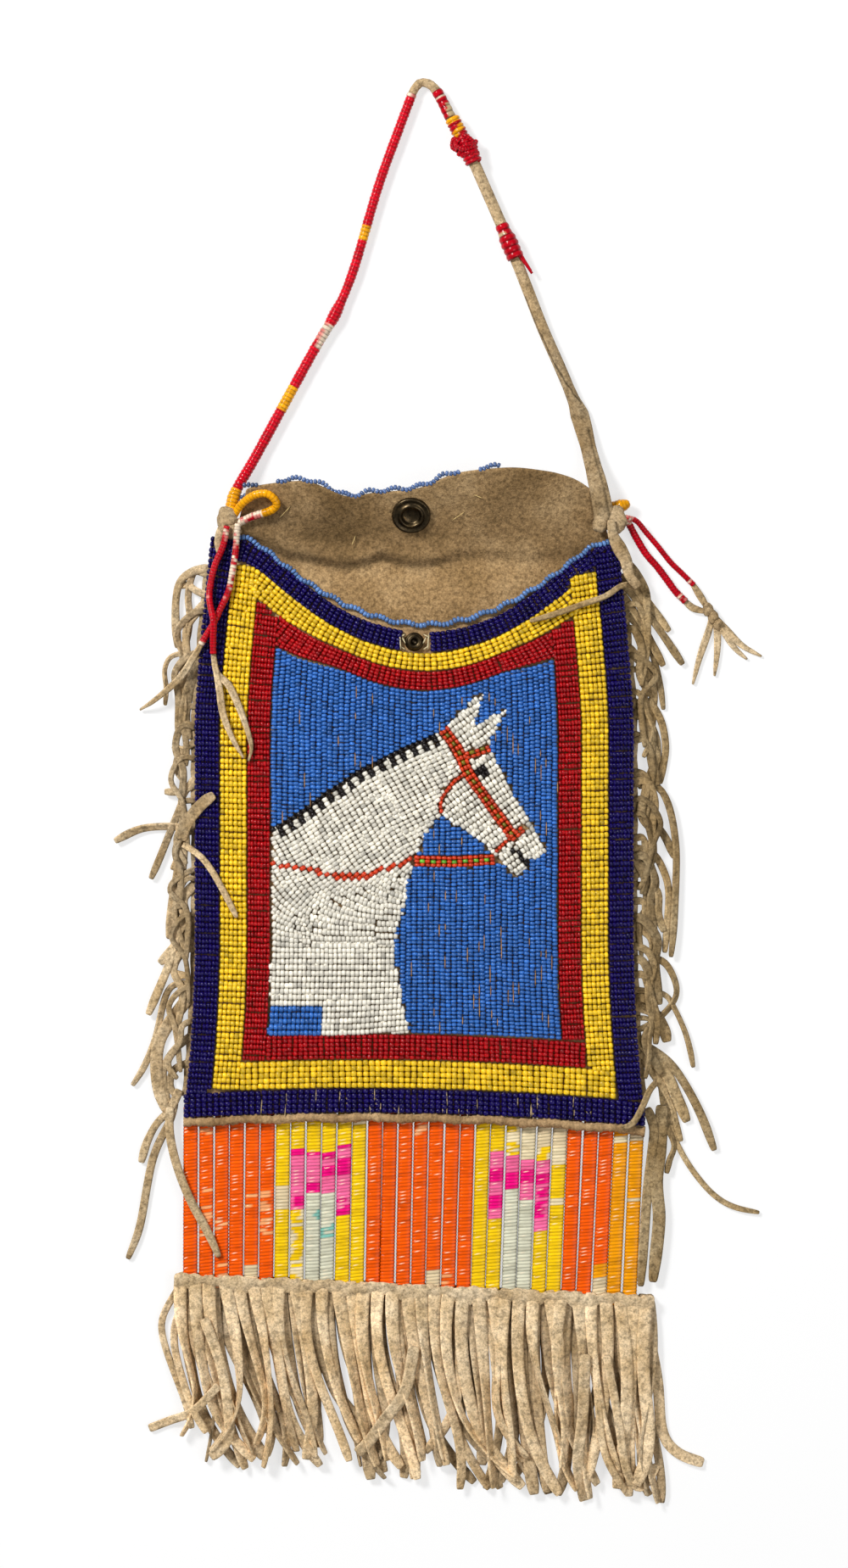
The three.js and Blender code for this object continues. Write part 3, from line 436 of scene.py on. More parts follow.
finishes = {
    # dark, middle and light tone, scale of the patches, then the blotches' scale, dark and light tone
    "suede": {
        "smokedHide": (paint(136, 108, 70), paint(162, 131, 90), paint(188, 157, 114),
                       45.0, 720.0, 0.66, 1.22),
        "paleHide": (paint(190, 162, 120), paint(214, 188, 149), paint(236, 213, 177),
                     90.0, 600.0, 0.58, 1.16),
        "tanHide": (paint(146, 114, 76), paint(172, 140, 100), paint(196, 164, 122),
                    90.0, 600.0, 0.75, 1.12),
    },
    # roughness, coat and gloss
    "glass": {
        "darkBlueGlass": (0.14, 0.0, 0.34), "yellowGlass": (0.28, 0.1, 0.5), "redGlass": (0.18, 0.05, 0.36),
        "skyGlass": (0.26, 0.1, 0.5), "chalkGlass": (0.34, 0.05, 0.5), "mattThread": (0.85, 0.0, 0.5),
    },
    "quill": {"dyedQuill": 0.2, "cordQuill": 0.22},
}
innerSuede, paleSuede, tanSuede = (suede(name, *row) for name, row in finishes["suede"].items())
deepGlass, warmGlass, redGlass, skyGlass, chalkGlass, mattThread = (
    beadGlass(name, *row) for name, row in finishes["glass"].items())
quill, cordQuill = (quillWork(name, gloss) for name, gloss in finishes["quill"].items())
print("materials ready")


# how pieces are made and declared
def meshOf(name, bm):
    mesh = bpy.data.meshes.new(name)
    bm.to_mesh(mesh)
    bm.free()
    return mesh


def finishPiece(name, bm, finish, slot, nodes=()):
    return placeMesh(name, meshOf(name, bm), finish, slot, nodes)


def placeMesh(name, mesh, finish, slot, nodes=()):
    mesh.transform(Matrix.Scale(mm, 4))
    mesh.materials.append(finish)
    for polygon in mesh.polygons:
        polygon.use_smooth = True
    made = bpy.data.objects.new(name, mesh)
    scene.collection.objects.link(made)
    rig.ride(made, "root")
    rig.slot(made, slot)
    if nodes:
        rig.replaces(made, *nodes)
    return made


def newWork():
    bm = bmesh.new()
    bm.verts.layers.float_color.new("dye")
    bm.verts.layers.float_color.new("tone")
    return bm


def addGrid(bm, across, along, place, tone=(1, 1, 1), dye=None):
    # place, tone and dye are rules of the side, from -1 to 1, and of the share along
    made = bmesh.ops.create_grid(bm, x_segments=across, y_segments=along, size=1)["verts"]
    layers = bm.verts.layers.float_color
    for v in made:
        side, share = v.co.x, (v.co.y + 1) / 2
        v.co = place(side, share)
        v[layers["tone"]] = (*(tone(side, share) if callable(tone) else tone), 1)
        if dye:
            v[layers["dye"]] = (*dye(side, share), 1)


def closeTubes(bm, merge=1e-4):
    bmesh.ops.remove_doubles(bm, verts=bm.verts, dist=merge)
    bmesh.ops.holes_fill(bm, edges=[e for e in bm.edges if e.is_boundary], sides=0)
    bmesh.ops.recalc_face_normals(bm, faces=bm.faces)


def ruleOf(value):  # a number as a rule of the share along a route, a rule as it is
    return value if callable(value) else (lambda share: value)


def addTube(bm, route, rings, sides, halfWide, halfThick=None, tone=(1, 1, 1), dye=None):
    wide = ruleOf(halfWide)
    thick = wide if halfThick is None else ruleOf(halfThick)

    def place(side, share):
        middle, ahead = alongRoute(route, share)
        across = ahead.cross(Vector((0, 0, 1))).normalized()
        up = across.cross(ahead)
        turn = side * math.pi
        return middle + across * (wide(share) * math.cos(turn)) + up * (thick(share) * math.sin(turn))

    addGrid(bm, sides, rings, place, tone, dye)


# thongs: faces across, lowest middle height, and the tones of the edge in painted shade, the face and the cut edge
thongs = {"across": 3, "leastZ": 0.6, "edge": 0.9, "tones": (0.74, 0.97, 1.14)}


def addThong(bm, route, along, width, tone, tilt=0.0, curl=0.0, crowd=1.0):
    # a flat strip of hide: tilt turns it about its length, curl lifts its two edges, and crowd brings its
    # rows closer towards the end, which then stays square
    wide, lean = ruleOf(width), ruleOf(tilt)

    def place(side, evenShare):
        share = 1 - (1 - evenShare) ** crowd
        middle, ahead = alongRoute(route, share)
        flatSide = ahead.cross(Vector((0, 0, 1))).normalized()
        up = flatSide.cross(ahead)
        turn = lean(share)
        out = flatSide * math.cos(turn) + up * math.sin(turn)
        lift = up * math.cos(turn) - flatSide * math.sin(turn)
        half = wide(share) / 2
        spot = middle + out * (side * half) + lift * (curl * half * (side * side - 0.4))
        spot.z = max(spot.z, thongs["leastZ"])
        return spot

    def toneAcross(side, share):
        # painted shade: the edge on one side is darker, as if it lay in shade
        return shade(tone, thongs["tones"][1 + (side > thongs["edge"]) - (side < -thongs["edge"])])

    addGrid(bm, thongs["across"], along, place, toneAcross)


def thicken(piece, thickness, offset):
    wall = piece.modifiers.new("thickness", "SOLIDIFY")
    wall.thickness = thickness * mm
    wall.offset = offset
    soft = piece.modifiers.new("rounding", "SUBSURF")
    soft.levels = soft.render_levels = 1


def inMetres(route):
    return [tuple(c * mm for c in p) for p in route]


# handle and corner cords
handle = {
    "thong": 1.3, "roll": 1.9, "strapThick": 0.9, "wrap": 1.9, "ringPitch": 1.35,
    # half width of the strap by share, and where the rolled hide's slit runs: y and side
    "strapHalves": [(0.84, 1.85), (0.857, 2.1), (0.872, 3.1), (0.888, 2.95), (0.907, 2.55), (0.931, 2.75),
                    (0.946, 3.05), (1, 3.45)],
    "slit": [(141.6, 0.8), (143.4, 0.66), (149, 0.44), (154.5, 0.28), (166, 0.2), (178, 0.12)],
    # tones of the thong and of the strap, the half width of the painted shade in the slit, and the painted shade along
    # the strap's fold: its side and from which share
    "tones": (0.79, 0.54), "slitHalf": 0.045, "foldSide": 0.667, "foldStart": 0.89,
    "red": paint(190, 2, 25), "legRed": paint(212, 2, 30), "yellow": paint(246, 168, 12),
    "pale": paint(236, 214, 188), "rubbed": paint(214, 122, 112), "bareHide": paint(202, 176, 134),
    "left": [(-60.6, 105.6, 6.6), (-58.8, 112.5, 5), (-53, 123, 2.6), (-44, 139.5, 2.3), (-33, 159.5, 2.3),
             (-26, 171.5, 2.3), (-20, 186, 2.3), (-12, 213, 2.3), (-5, 232.5, 2.3), (-0.7, 244, 2.2)],
    "bend": [(0.5, 246.3, 1.9), (2.6, 248, 1.8), (5.5, 247, 1.8), (8, 244, 1.9), (11, 238, 2.8)],
    "right": [(17, 227, 3.9), (24, 211.5, 3.2), (31, 195.5, 3)],
    "lower": [(37, 180.5, 2.8), (42.5, 166.5, 2.1), (48, 154, 2.1), (52, 144.5, 2.1)],
    "strap": [(55, 137, 1.6), (58.5, 123, 4.4), (60.7, 113.5, 8.8), (62.5, 105, 7.4), (63.5, 99.5, 6.2)],
    # how full the left leg's wrap is by y, and a lump in it: y, rise and reach
    "fullness": [(111, 1.18), (114, 0.95), (165, 0.95), (178, 0.86), (244, 0.88)], "lump": (171, 0.22, 2.8),
    # the leg's quill colours: each reaches to this y
    "bands": [(112.6, "yellow"), (139.4, "legRed"), (147, "yellow"), (159.8, "legRed"), (167.8, "pale"),
              (195.4, "legRed"), (200.2, "yellow"), (243, "legRed"), (244, "pale")],
}
handleRoute = smoothRoute(handle["left"] + handle["bend"] + handle["right"] + handle["lower"]
                          + handle["strap"], 150)
rollStart, strapStart = 0.475, 0.84  # shares where the roll and the flat strap begin


def handleHalf(share):
    if share > strapStart:
        return float(np.interp(share, *zip(*handle["strapHalves"])))
    return lerp(handle["thong"], handle["roll"], smooth((share - rollStart + 0.03) / 0.12))


def handleThick(share):
    rolled = lerp(handle["thong"], handle["roll"] * 0.9, smooth((share - rollStart + 0.03) / 0.12))
    return lerp(rolled, handle["strapThick"], smooth((share - strapStart) / 0.04))


def handleTone(side, share):
    onStrap = smooth((share - strapStart + 0.09) / 0.06)
    level = lerp(*handle["tones"], onStrap)
    y = alongRoute(handleRoute, share)[0].y
    heights, sides = zip(*handle["slit"])
    onRight = share > 0.7
    fromSlit = abs(side - float(np.interp(y, heights, sides)))
    if onRight and heights[0] < y < heights[-1] and fromSlit < handle["slitHalf"]:
        # painted shade in the slit of the rolled hide
        level *= 0.3
    if share > handle["foldStart"] and abs(side - handle["foldSide"]) < 0.01:
        # painted shade along the strap's fold
        level *= 0.45
    return shade((1, lerp(0.96, 0.94, onStrap), lerp(0.9, 0.84, onStrap)), level)


work = newWork()
addTube(work, handleRoute, 220, 24, handleHalf, handleThick, tone=handleTone)
closeTubes(work)
handleThong = finishPiece("handleThong", work, paleSuede, "hide", ["handle_thong"])


def wound(bm, route, half, colours, pitch=handle["ringPitch"], sides=10, groove=0.16, line=0.36):
    # a cord wound with quill: a ridge for each turn; colours is a rule of share, turn and side, half a number
    # or a rule of the share, line the tone of the painted shade in the groove between turns
    turns = max(3, round(routeLength(route) / pitch))
    halfAt = ruleOf(half)
    wobble = 0.06

    def thickness(share):
        turn = share * turns
        swell = 1 - groove * abs(math.cos(math.pi * turn)) ** 3
        return halfAt(share) * (swell + wobble * (scatter(int(turn), 5) - 0.5))

    def dye(side, share):
        turn = min(turns - 1, int(share * turns + 0.01))
        between = abs(share * turns - round(share * turns)) < 0.01
        # painted shade: the line between two turns is darker
        return shade(colours(share, turn, side), (line if between else 1) * (0.86 + 0.3 * scatter(turn, 9)))

    addTube(bm, route, turns * 4, sides, thickness, dye=dye)


def wornRed(turn, side, bare=0.5):  # dye rubbed off in flecks
    rub = scatter(turn * 7 + round(side * 3), 4)
    return handle["pale" if rub < bare else "rubbed" if rub < bare + 0.25 else "red"]


leftLeg = smoothRoute(handle["left"], 110)


def leftLegDye(share, turn, side):
    y = alongRoute(leftLeg, share)[0].y
    name = next((n for top, n in handle["bands"] if y <= top), "red")
    return wornRed(turn, side) if name == "pale" else handle[name]


def leftLegHalf(share):
    y = alongRoute(leftLeg, share)[0].y
    lumpY, rise, reach = handle["lump"]
    lump = rise * math.exp(-abs((y - lumpY) / reach) ** 3)
    return handle["wrap"] * (float(np.interp(y, *zip(*handle["fullness"]))) + lump)


work = newWork()
wound(work, leftLeg, leftLegHalf, leftLegDye, groove=0.11, line=0.45)
closeTubes(work)
leftWrap = finishPiece("leftLegQuill", work, cordQuill, "red_quill", ["handle_left_wrap"])

# wraps and knots on the right leg: half widths, pitches and routes
wraps = {
    "topHalf": 1.95, "topPitch": 2.2, "upperHalf": 2.65, "upperSwell": 0.35, "strandHalf": 0.9,
    "lowerHalves": (2.4, 3), "lowerPitch": 1.9, "frayHalf": 0.45,
    "topRings": [(7.4, 245, 2.2), (9.4, 241.4, 2.4), (11.2, 237.6, 2.9), (12, 235.8, 3.1)],
    "upper": [(12.4, 235.8, 3.4), (14.8, 231.2, 3.8), (17, 227, 3.9), (19.8, 220.9, 3.8)],
    "lower": [(28.8, 200.6, 3.1), (31, 195.5, 3.4), (32.4, 192.2, 3.5), (33.6, 189.4, 3.5)],
    "knotLoops": [[(13.6, 228.6, 4), (14, 226.2, 6.2), (16.8, 225, 6.6), (19.6, 226.4, 5.6),
                   (20.4, 228.2, 4)],
                  [(14.6, 223.4, 4), (16.4, 226, 6.4), (18.8, 226.6, 6.4), (21, 223.8, 4.2)],
                  [(14.2, 231, 4), (16.8, 229.6, 6.2), (19, 228, 5.8), (20.4, 225.6, 4.4)],
                  [(15.6, 223, 4.6), (17.4, 224, 6.2), (19.6, 223.2, 6), (21.6, 221.6, 4.4)],
                  [(15, 227.4, 6), (13.2, 228.8, 4.8), (12.6, 226.2, 3.9), (14.4, 224.8, 4.8)]],
    "frayed": [[(34.8, 191.4, 5), (36.6, 188.4, 4.2), (38.6, 185.2, 3.6)],
               [(34.4, 190.4, 5), (36.8, 187.4, 4), (39, 184.4, 3.4)]],
}


def topDye(share, turn, side):  # frayed at its lower end
    torn = share > 0.5 and not -0.25 < side < 0.62 - 0.5 * (share - 0.5)
    return handle["bareHide" if torn else "pale" if 0.2 < share < 0.26 else "red"]


def upperDye(share, turn, side):
    wrapped = share - 0.07 * math.cos(side * math.pi)  # the second yellow turn is slanted
    return handle["yellow" if share < 0.12 or 0.23 < wrapped < 0.35 else "red"]


def lowerDye(share, turn, side):
    return handle["bareHide" if 0.22 < share < 0.3 and side < 0.5 else "red"]


work = newWork()
wound(work, smoothRoute(wraps["topRings"], 20), wraps["topHalf"], topDye, wraps["topPitch"], 16, 0.08)
wound(work, smoothRoute(wraps["upper"], 24),
      lambda s: wraps["upperHalf"] + wraps["upperSwell"] * smooth((s - 0.4) / 0.3), upperDye, sides=16)
for loop in wraps["knotLoops"]:
    wound(work, smoothRoute(loop, 16), wraps["strandHalf"], lambda s, t, side: handle["red"], 0.9, 7)
closeTubes(work)
upperWrap = finishPiece("upperQuillKnot", work, cordQuill, "red_quill", ["handle_upper_wrap"])

work = newWork()
wound(work, smoothRoute(wraps["lower"], 30), lambda s: lerp(*wraps["lowerHalves"], smooth((s - 0.27) / 0.08)),
      lowerDye, wraps["lowerPitch"], 14, 0.11)
for strand in wraps["frayed"]:
    addTube(work, smoothRoute(strand, 8), 10, 6, wraps["frayHalf"], dye=lambda side, s: handle["red"])
closeTubes(work)
lowerWrap = finishPiece("lowerQuillWrap", work, cordQuill, "red_quill", ["handle_lower_wrap"])

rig.cord(handleThong, exit=inMetres(handleRoute)[0], length=routeLength(handleRoute) * mm, diameter=0.0038,
        far_end="object", stiffness="limp", lay="loose", path=inMetres(handleRoute),
        with_pieces=[leftWrap, upperWrap, lowerWrap])

corner = {
    "loopHalf": 1.35, "loopWorn": 0.72, "quill": 1.12, "lift": 1.35, "nubHalf": 2.3,
    "tailWidth": 2.4, "tailThick": 0.9, "tailTint": (1, 0.98, 0.94),
    "overThick": 1.1, "overTone": (0.74, 0.71, 0.66),
    # pendants: pitch of the turns, painted shade between them, then the tails' steps, tone, tone added for each, tilt
    "leftStyle": (1.05, 0.55, 24, 0.84, 0.1, 0.2), "rightStyle": (1.1, 0.5, 18, 0.8, 0.06, 0.1),
    # how bare a pendant's quill is, by share
    "bareA": [(0, -0.2), (0.03, 0.3), (0.1, 0.2), (0.14, -0.2), (1, -0.22)],
    "bareB": [(0, 0.9), (0.12, 0.8), (0.16, 0.1), (0.27, 0.2), (0.34, 0.75), (0.47, 0.6), (0.53, -0.2),
              (0.94, -0.22), (0.97, 0.4), (1, 0.3)],
    "bareLegs": [(0, 0.5), (0.07, 0.3), (0.09, -0.24), (0.9, -0.22), (0.93, 0.5), (0.97, -0.1)],
    "loop": [(-59.8, 103.6), (-57, 107.6), (-52.8, 110.5), (-48.6, 111), (-45.8, 109), (-45.4, 107),
             (-47.7, 105.4), (-52.8, 103.9), (-57, 102.2), (-59.2, 101.4)],
    # hide knots: middle and half sizes of each lump
    "leftKnots": [((-61.6, 103.4, 7.8), (3.4, 4, 2.4)), ((-60.2, 99.2, 7.8), (3.2, 3, 1.5))],
    "rightKnots": [((61.4, 101.6, 7), (2.6, 3.2, 1.5)), ((66.6, 103, 6.2), (3.6, 4.8, 2))],
    "tailKnots": [((97.3, 73.4, 2), (1.8, 2.3, 1.5)), ((99, 71, 1.9), (1.8, 2.3, 1.4)),
                  ((100.4, 68.8, 1.7), (1.6, 2, 1.2))],
    # thongs from the knots down over the beads: points with the width there
    "leftOver": [(-62.8, 101.4, 2.4), (-64.2, 98, 2.6), (-64.6, 94.5, 2.6), (-64.2, 91.6, 1.8)],
    "rightOver": [(64.8, 102.6, 2.4), (65.6, 97.4, 3.6), (67.9, 92.9, 5), (69.9, 89, 4.2), (70.9, 84.4, 3.4),
                  (74, 80.4, 3)],
    # pendants on the left: points with the height above the beads, and tails, of which b's has its own z
    "pendantA": [(-61.6, 100.5, 1.3), (-62.9, 94.1, 1.3), (-65.7, 87.4, 1.3), (-67.3, 80.1, 1.4),
                 (-67.3, 75.4, 2.4), (-66, 69.2, 3.8), (-66.2, 63.1, 2), (-66.2, 58.4, 1.3)],
    "tailA": [(-66.2, 58.8), (-65, 52), (-61, 48), (-56.5, 38), (-53.5, 28), (-54.5, 23)],
    "splitA": [(-65.7, 55.5), (-64, 46), (-63, 39), (-60, 31), (-56, 24)],
    "pendantB": [(-58, 101.2, 1.3), (-58.3, 98.1, 1.3), (-58.8, 91.9, 1.3), (-59.8, 85.3, 1.3),
                 (-61.1, 79, 1.3), (-63.7, 73.4, 1.2), (-65.7, 69.2, 1.2), (-67.8, 65.6, 1.2),
                 (-70.4, 61.5, 1.2)],
    "tailB": [(-70, 62, 8.8), (-73, 57, 7.4), (-77.5, 50.5, 5.2), (-85.5, 43.5, 4.2), (-91, 40, 1)],
    "nub": [(64.5, 106.4, 3.4), (66.8, 107, 3.6), (69, 107.7, 3.8), (71.2, 108.5, 3.9)],
    # legs on the right, then how each goes on to the knot of the tails
    "legHalves": (1.25, 0.98),
    "legA": [(69.6, 103.4, 6), (71.4, 100.8, 3.6), (73.4, 97.2, 1.9), (76.7, 91.8, 1.6), (80.5, 87.4, 1.6),
             (83.8, 83, 1.6), (86.6, 79.2, 1.6), (89.9, 75.9, 1.6)],
    "legB": [(69.6, 103.6, 6.6), (73.4, 102.5, 4.2), (76.7, 98.9, 2), (80.5, 94.5, 1.4), (84.9, 89, 1.3),
             (88.8, 85.2, 1.3), (92.6, 81.4, 1.3)],
    "joinA": [(89.4, 76.4, 1.5), (92, 74, 1.2), (95, 73, 1.2), (98, 72.4, 1.6)],
    "joinB": [(92.2, 81.8, 1.3), (94.2, 78.6, 1.3), (96.4, 75, 1.6), (98.6, 71.4, 1.6)],
    "tailsA": [[(97.8, 73, 1.8), (98.2, 68.6, 1), (94.6, 57.6, 0.7), (92.3, 48.4, 0.7)],
               [(98.2, 72.6, 1.6), (100.2, 67.5, 0.8), (100.4, 60, 0.7), (99.5, 51.2, 0.7)]],
    "tailsB": [[(98.2, 72, 1.4), (102, 67, 0.8), (106, 60.8, 0.7), (110.4, 56.8, 0.7)],
               [(98.6, 72, 1.2), (103.4, 66.6, 0.8), (108.5, 61.5, 0.7), (115.2, 57.8, 0.7)]],
}
beadRise = 2.0  # beads and the hump of their lanes, above the front hide


def onFlap(point, radius):
    x, y = point
    return (x, y, backZ(x, y) + clearance + corner["lift"] * radius)


def onBeads(point, height):
    x, y = point
    return (x, y, frontZ(x, y) + beadRise + 3 * clearance + height)


def rubbedRed(bares):  # red quill, with how bare it is at each share of its length
    return lambda share, turn, side: wornRed(turn, side, float(np.interp(share, *zip(*bares))))


def pointedTail(share):
    return corner["tailWidth"] * (0.7 + 0.35 * math.sin(math.pi * min(1, share * 1.3))
                                  - 0.4 * smooth((share - 0.8) / 0.2))


def loopDye(share, turn, side):
    worn = (share - corner["loopWorn"]) / (1 - corner["loopWorn"])
    return handle["yellow"] if worn < 0 else wornRed(turn, side, lerp(0.5, 0.9, worn))


loopRoute = smoothRoute([onFlap(p, corner["loopHalf"]) for p in corner["loop"]], 50)
work = newWork()
wound(work, loopRoute, corner["loopHalf"], loopDye, 1.2, groove=0.06, line=0.62)
closeTubes(work)
leftLoop = finishPiece("leftQuillLoop", work, quill, "yellow_quill", ["left_loop"])
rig.cord(leftLoop, exit=inMetres(loopRoute)[0], length=routeLength(loopRoute) * mm,
        diameter=2 * corner["loopHalf"] * mm, far_end="object", stiffness="medium", lay="loose",
        path=inMetres(loopRoute))


def addKnot(bm, middle, halves, seed):
    toneLayer = bm.verts.layers.float_color["tone"]
    for v in bmesh.ops.create_icosphere(bm, subdivisions=3, radius=1)["verts"]:
        lump = (1 + 0.1 * math.sin(3 * v.co.x + seed) * math.cos(4 * v.co.y - seed)
                + 0.05 * math.sin(6 * v.co.z + 5 * v.co.x) + 0.04 * math.sin(9 * v.co.y + seed))
        # painted light: each lump is lighter on top and darker underneath
        v[toneLayer] = (*shade((1, 0.96, 0.9), 0.56 + 0.16 * v.co.z), 1)
        v.co = Vector(middle) + Vector(c * h * lump for c, h in zip(v.co, halves))


cornerKnots = []
for label in ("left", "right"):
    work = newWork()
    for k, (middle, halves) in enumerate(corner[label + "Knots"]):
        addKnot(work, middle, halves, k + 1)
    cornerKnots.append(finishPiece(label + "HideKnot", work, paleSuede, "hide"))
    over = corner[label + "Over"]
    overWidths = [p[2] for p in over]
    work = newWork()
    addThong(work, smoothRoute([onBeads(p[:2], 0.8) for p in over], 26), 26,
             lambda s: float(np.interp(s, np.linspace(0, 1, len(overWidths)), overWidths)),
             corner["overTone"], 0.1, -0.2)
    cornerKnots.append(finishPiece(label + "CornerThong", work, paleSuede, "hide"))
    thicken(cornerKnots[-1], corner["overThick"], 0)


def addPendant(name, node, route, half, bares, style, tails, knots=()):
    # a cord wound with red quill, its hide tails, and the knot that ties them
    pitch, line, steps, tone, nextTone, tilt = style
    work = newWork()
    wound(work, route, half, rubbedRed(bares), pitch, groove=0.1, line=line)
    closeTubes(work)
    made = finishPiece(name, work, cordQuill, "red_quill", [node])
    work = newWork()
    for k, tail in enumerate(tails):
        addThong(work, smoothRoute(tail, steps), steps, pointedTail,
                 shade(corner["tailTint"], tone + nextTone * k), tilt, 0.3)
    carried = [finishPiece(name + "Tails", work, paleSuede, "hide")]
    thicken(carried[0], corner["tailThick"], 0)
    if knots:
        work = newWork()
        for knot in knots:
            addKnot(work, *knot, 3)
        carried.append(finishPiece("rightTailKnot", work, paleSuede, "hide"))
    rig.cord(made, exit=inMetres(route)[0], length=routeLength(route) * mm, diameter=2 * half * mm,
            far_end="bare", stiffness="medium", lay="loose", path=inMetres(route), with_pieces=carried)


routeA, routeB = (smoothRoute([onBeads(p[:2], p[2]) for p in corner[label]], 44)
                  for label in ("pendantA", "pendantB"))
tailsA = [[onBeads(p, 0.6) for p in corner["tailA"]], [onBeads(p, 1.4) for p in corner["splitA"]]]
addPendant("leftPendantA", "left_pendant_a", routeA, corner["quill"], corner["bareA"], corner["leftStyle"],
           tailsA)
addPendant("leftPendantB", "left_pendant_b", routeB, corner["quill"], corner["bareB"], corner["leftStyle"],
           [corner["tailB"]])

# right nub and the two pendant legs, whose tails are knotted together
work = newWork()
wound(work, smoothRoute(corner["nub"], 12), lambda s: corner["nubHalf"] * math.sqrt(1.02 - 0.9 * s ** 4),
      lambda s, t, side: shade(handle["yellow"], 0.85), 1.2, groove=0.06, line=0.7)
closeTubes(work)
finishPiece("rightQuillNub", work, quill, "yellow_quill", ["right_loop"])
addPendant("rightPendantA", "right_pendant_a", smoothRoute(corner["legA"], 36), corner["legHalves"][0],
           corner["bareLegs"], corner["rightStyle"], [corner["joinA"]] + corner["tailsA"],
           corner["tailKnots"])
addPendant("rightPendantB", "right_pendant_b", smoothRoute(corner["legB"], 36), corner["legHalves"][1],
           corner["bareLegs"], corner["rightStyle"], [corner["joinB"]] + corner["tailsB"])
print("cords ready")


# front and back hides
sheets = {
    "frontGrid": (44, 44), "backGrid": (64, 72), "flapShare": 0.7,
    # how far the flap's right edge goes behind the strap, from which side and which y
    "tuck": (4.8, 0.82, 87), "ripple": 0.6, "rollHeight": 1.6,
    # painted light on the flap: the tones above and below the fold, the painted shade in it, and a darker patch at the
    # upper left: its middle, its reach and how dark it is
    "tones": (0.87, 1.1), "foldShade": 0.42, "stain": (-34, 100, 24, 9, 0.27),
    # fold line across the flap, and how strong it is along it
    "fold": [(-62, 97), (-50.2, 95), (-42.3, 90.6), (-31.8, 88.9), (-23, 86.9), (-16, 88), (-10.8, 90.2),
             (-5.5, 88.5), (-0.3, 87.6), (7.6, 88.2), (17.2, 91), (40, 90), (62, 92)],
    "foldStrength": [(-62, 0.5), (-45, 1), (-10, 1), (8, 0.8), (22, 0.3), (62, 0.2)],
}


def ripple(x, y, seed):
    return math.sin(x * 0.11 + seed) * math.cos(y * 0.09 - seed) + 0.5 * math.sin(x * 0.23 - y * 0.17 + seed)


def creaseLine(x):
    return float(np.interp(x, *zip(*sheets["fold"])))


def creaseStrength(x):
    return float(np.interp(x, *zip(*sheets["foldStrength"])))


work = newWork()
addGrid(work, *sheets["frontGrid"],
        lambda side, share: Vector((*frontPoint(side, share), frontZ(*frontPoint(side, share)))))
frontHide = finishPiece("frontHide", work, tanSuede, "hide", ["front_panel"])
thicken(frontHide, hide, -1)


def backPlace(side, share):
    split, flapRoot = 1 - sheets["flapShare"], pouch["bendLine"] - 6
    if share <= split:
        t = share / split
        nominal = lerp(hemLine, flapRoot, t)
        x = side * backHalf(nominal)
        y = lerp(hem(x), flapRoot, t)
    else:
        t = (share - split) / (1 - split)
        nominal = lerp(flapRoot, pouch["flapPeak"], t)
        tuck, fromSide, fromY = sheets["tuck"]
        x = side * backHalf(nominal) + tuck * smooth((side - fromSide) / 0.18) * smooth((nominal - fromY) / 6)
        y = lerp(flapRoot, flapTop(x), t)
    z = backZ(x, y)
    above = y - creaseLine(x) - 2.4
    overhang = sheets["rollHeight"] * creaseStrength(x) * math.exp(-(above / (4 if above > 0 else 1.6)) ** 2)
    waves = sheets["ripple"] * ripple(x, y, 1.3) * smooth((y - 92) / 10)
    roll = smooth((y - 70) / 10) * (overhang + waves)
    return Vector((x, y, z + max(0, roll * (1 - min(1, abs(x) / 70) ** 4))))


def backTone(side, share):  # darker towards the upper left; painted light: paler below the crease, with painted shade in it
    spot = backPlace(side, share)
    darkMiddleX, darkMiddleY, reachX, reachY, dark = sheets["stain"]
    stain = dark * math.exp(-((spot.x - darkMiddleX) / reachX) ** 2 - ((spot.y - darkMiddleY) / reachY) ** 2)
    above = spot.y - creaseLine(spot.x)
    # painted shade in the crease
    fold = creaseStrength(spot.x) * math.exp(-(above / (2.6 if above > 0 else 0.9)) ** 2)
    # painted light: the flap is lighter below the crease and darker above it
    worn = smooth(0.2 - above / 4)
    return shade((1, 1, 1), lerp(*sheets["tones"], worn) * (1 - stain) * (1 - sheets["foldShade"] * fold))


work = newWork()
addGrid(work, *sheets["backGrid"], backPlace, backTone)
backHide = finishPiece("backHide", work, innerSuede, "inner_hide", ["back_panel"])
thicken(backHide, hide, -1)
print("hides ready")


# beads: one turned barrel, copied along the sewn rows, with how unevenly they lie
sewing = {
    "profile": [(-1, 0.6), (-0.55, 1), (0.55, 1), (1, 0.6)], "faces": 8, "seat": 0.44, "cell": 2,
    "shift": 0.05, "turn": 0.06, "rise": 0.06, "size": 0.05, "shade": 0.15, "holeTone": 0.6, "bodyTone": 1.05,
}


def spun(points, axis, steps):  # a line of points turned about an axis
    bm = bmesh.new()
    verts = [bm.verts.new(p) for p in points]
    edges = [bm.edges.new(pair) for pair in zip(verts, verts[1:])]
    bmesh.ops.spin(bm, geom=verts + edges, cent=(0, 0, 0), axis=axis, dvec=(0, 0, 0), angle=2 * math.pi,
                   steps=steps, use_merge=True, use_duplicate=False)
    return bm


def beadBarrel():
    bm = spun([(x, 0, r) for x, r in sewing["profile"]], (1, 0, 0), sewing["faces"])
    for vert in bm.verts:  # the side that lies on the hide is plainer
        if vert.co.z < -0.1:
            vert.co = (vert.co.x, 0, -math.hypot(vert.co.y, vert.co.z))
    closeTubes(bm, 0.01)
    return meshOf("beadBarrel", bm)


barrel = beadBarrel()
rng = np.random.default_rng(7)


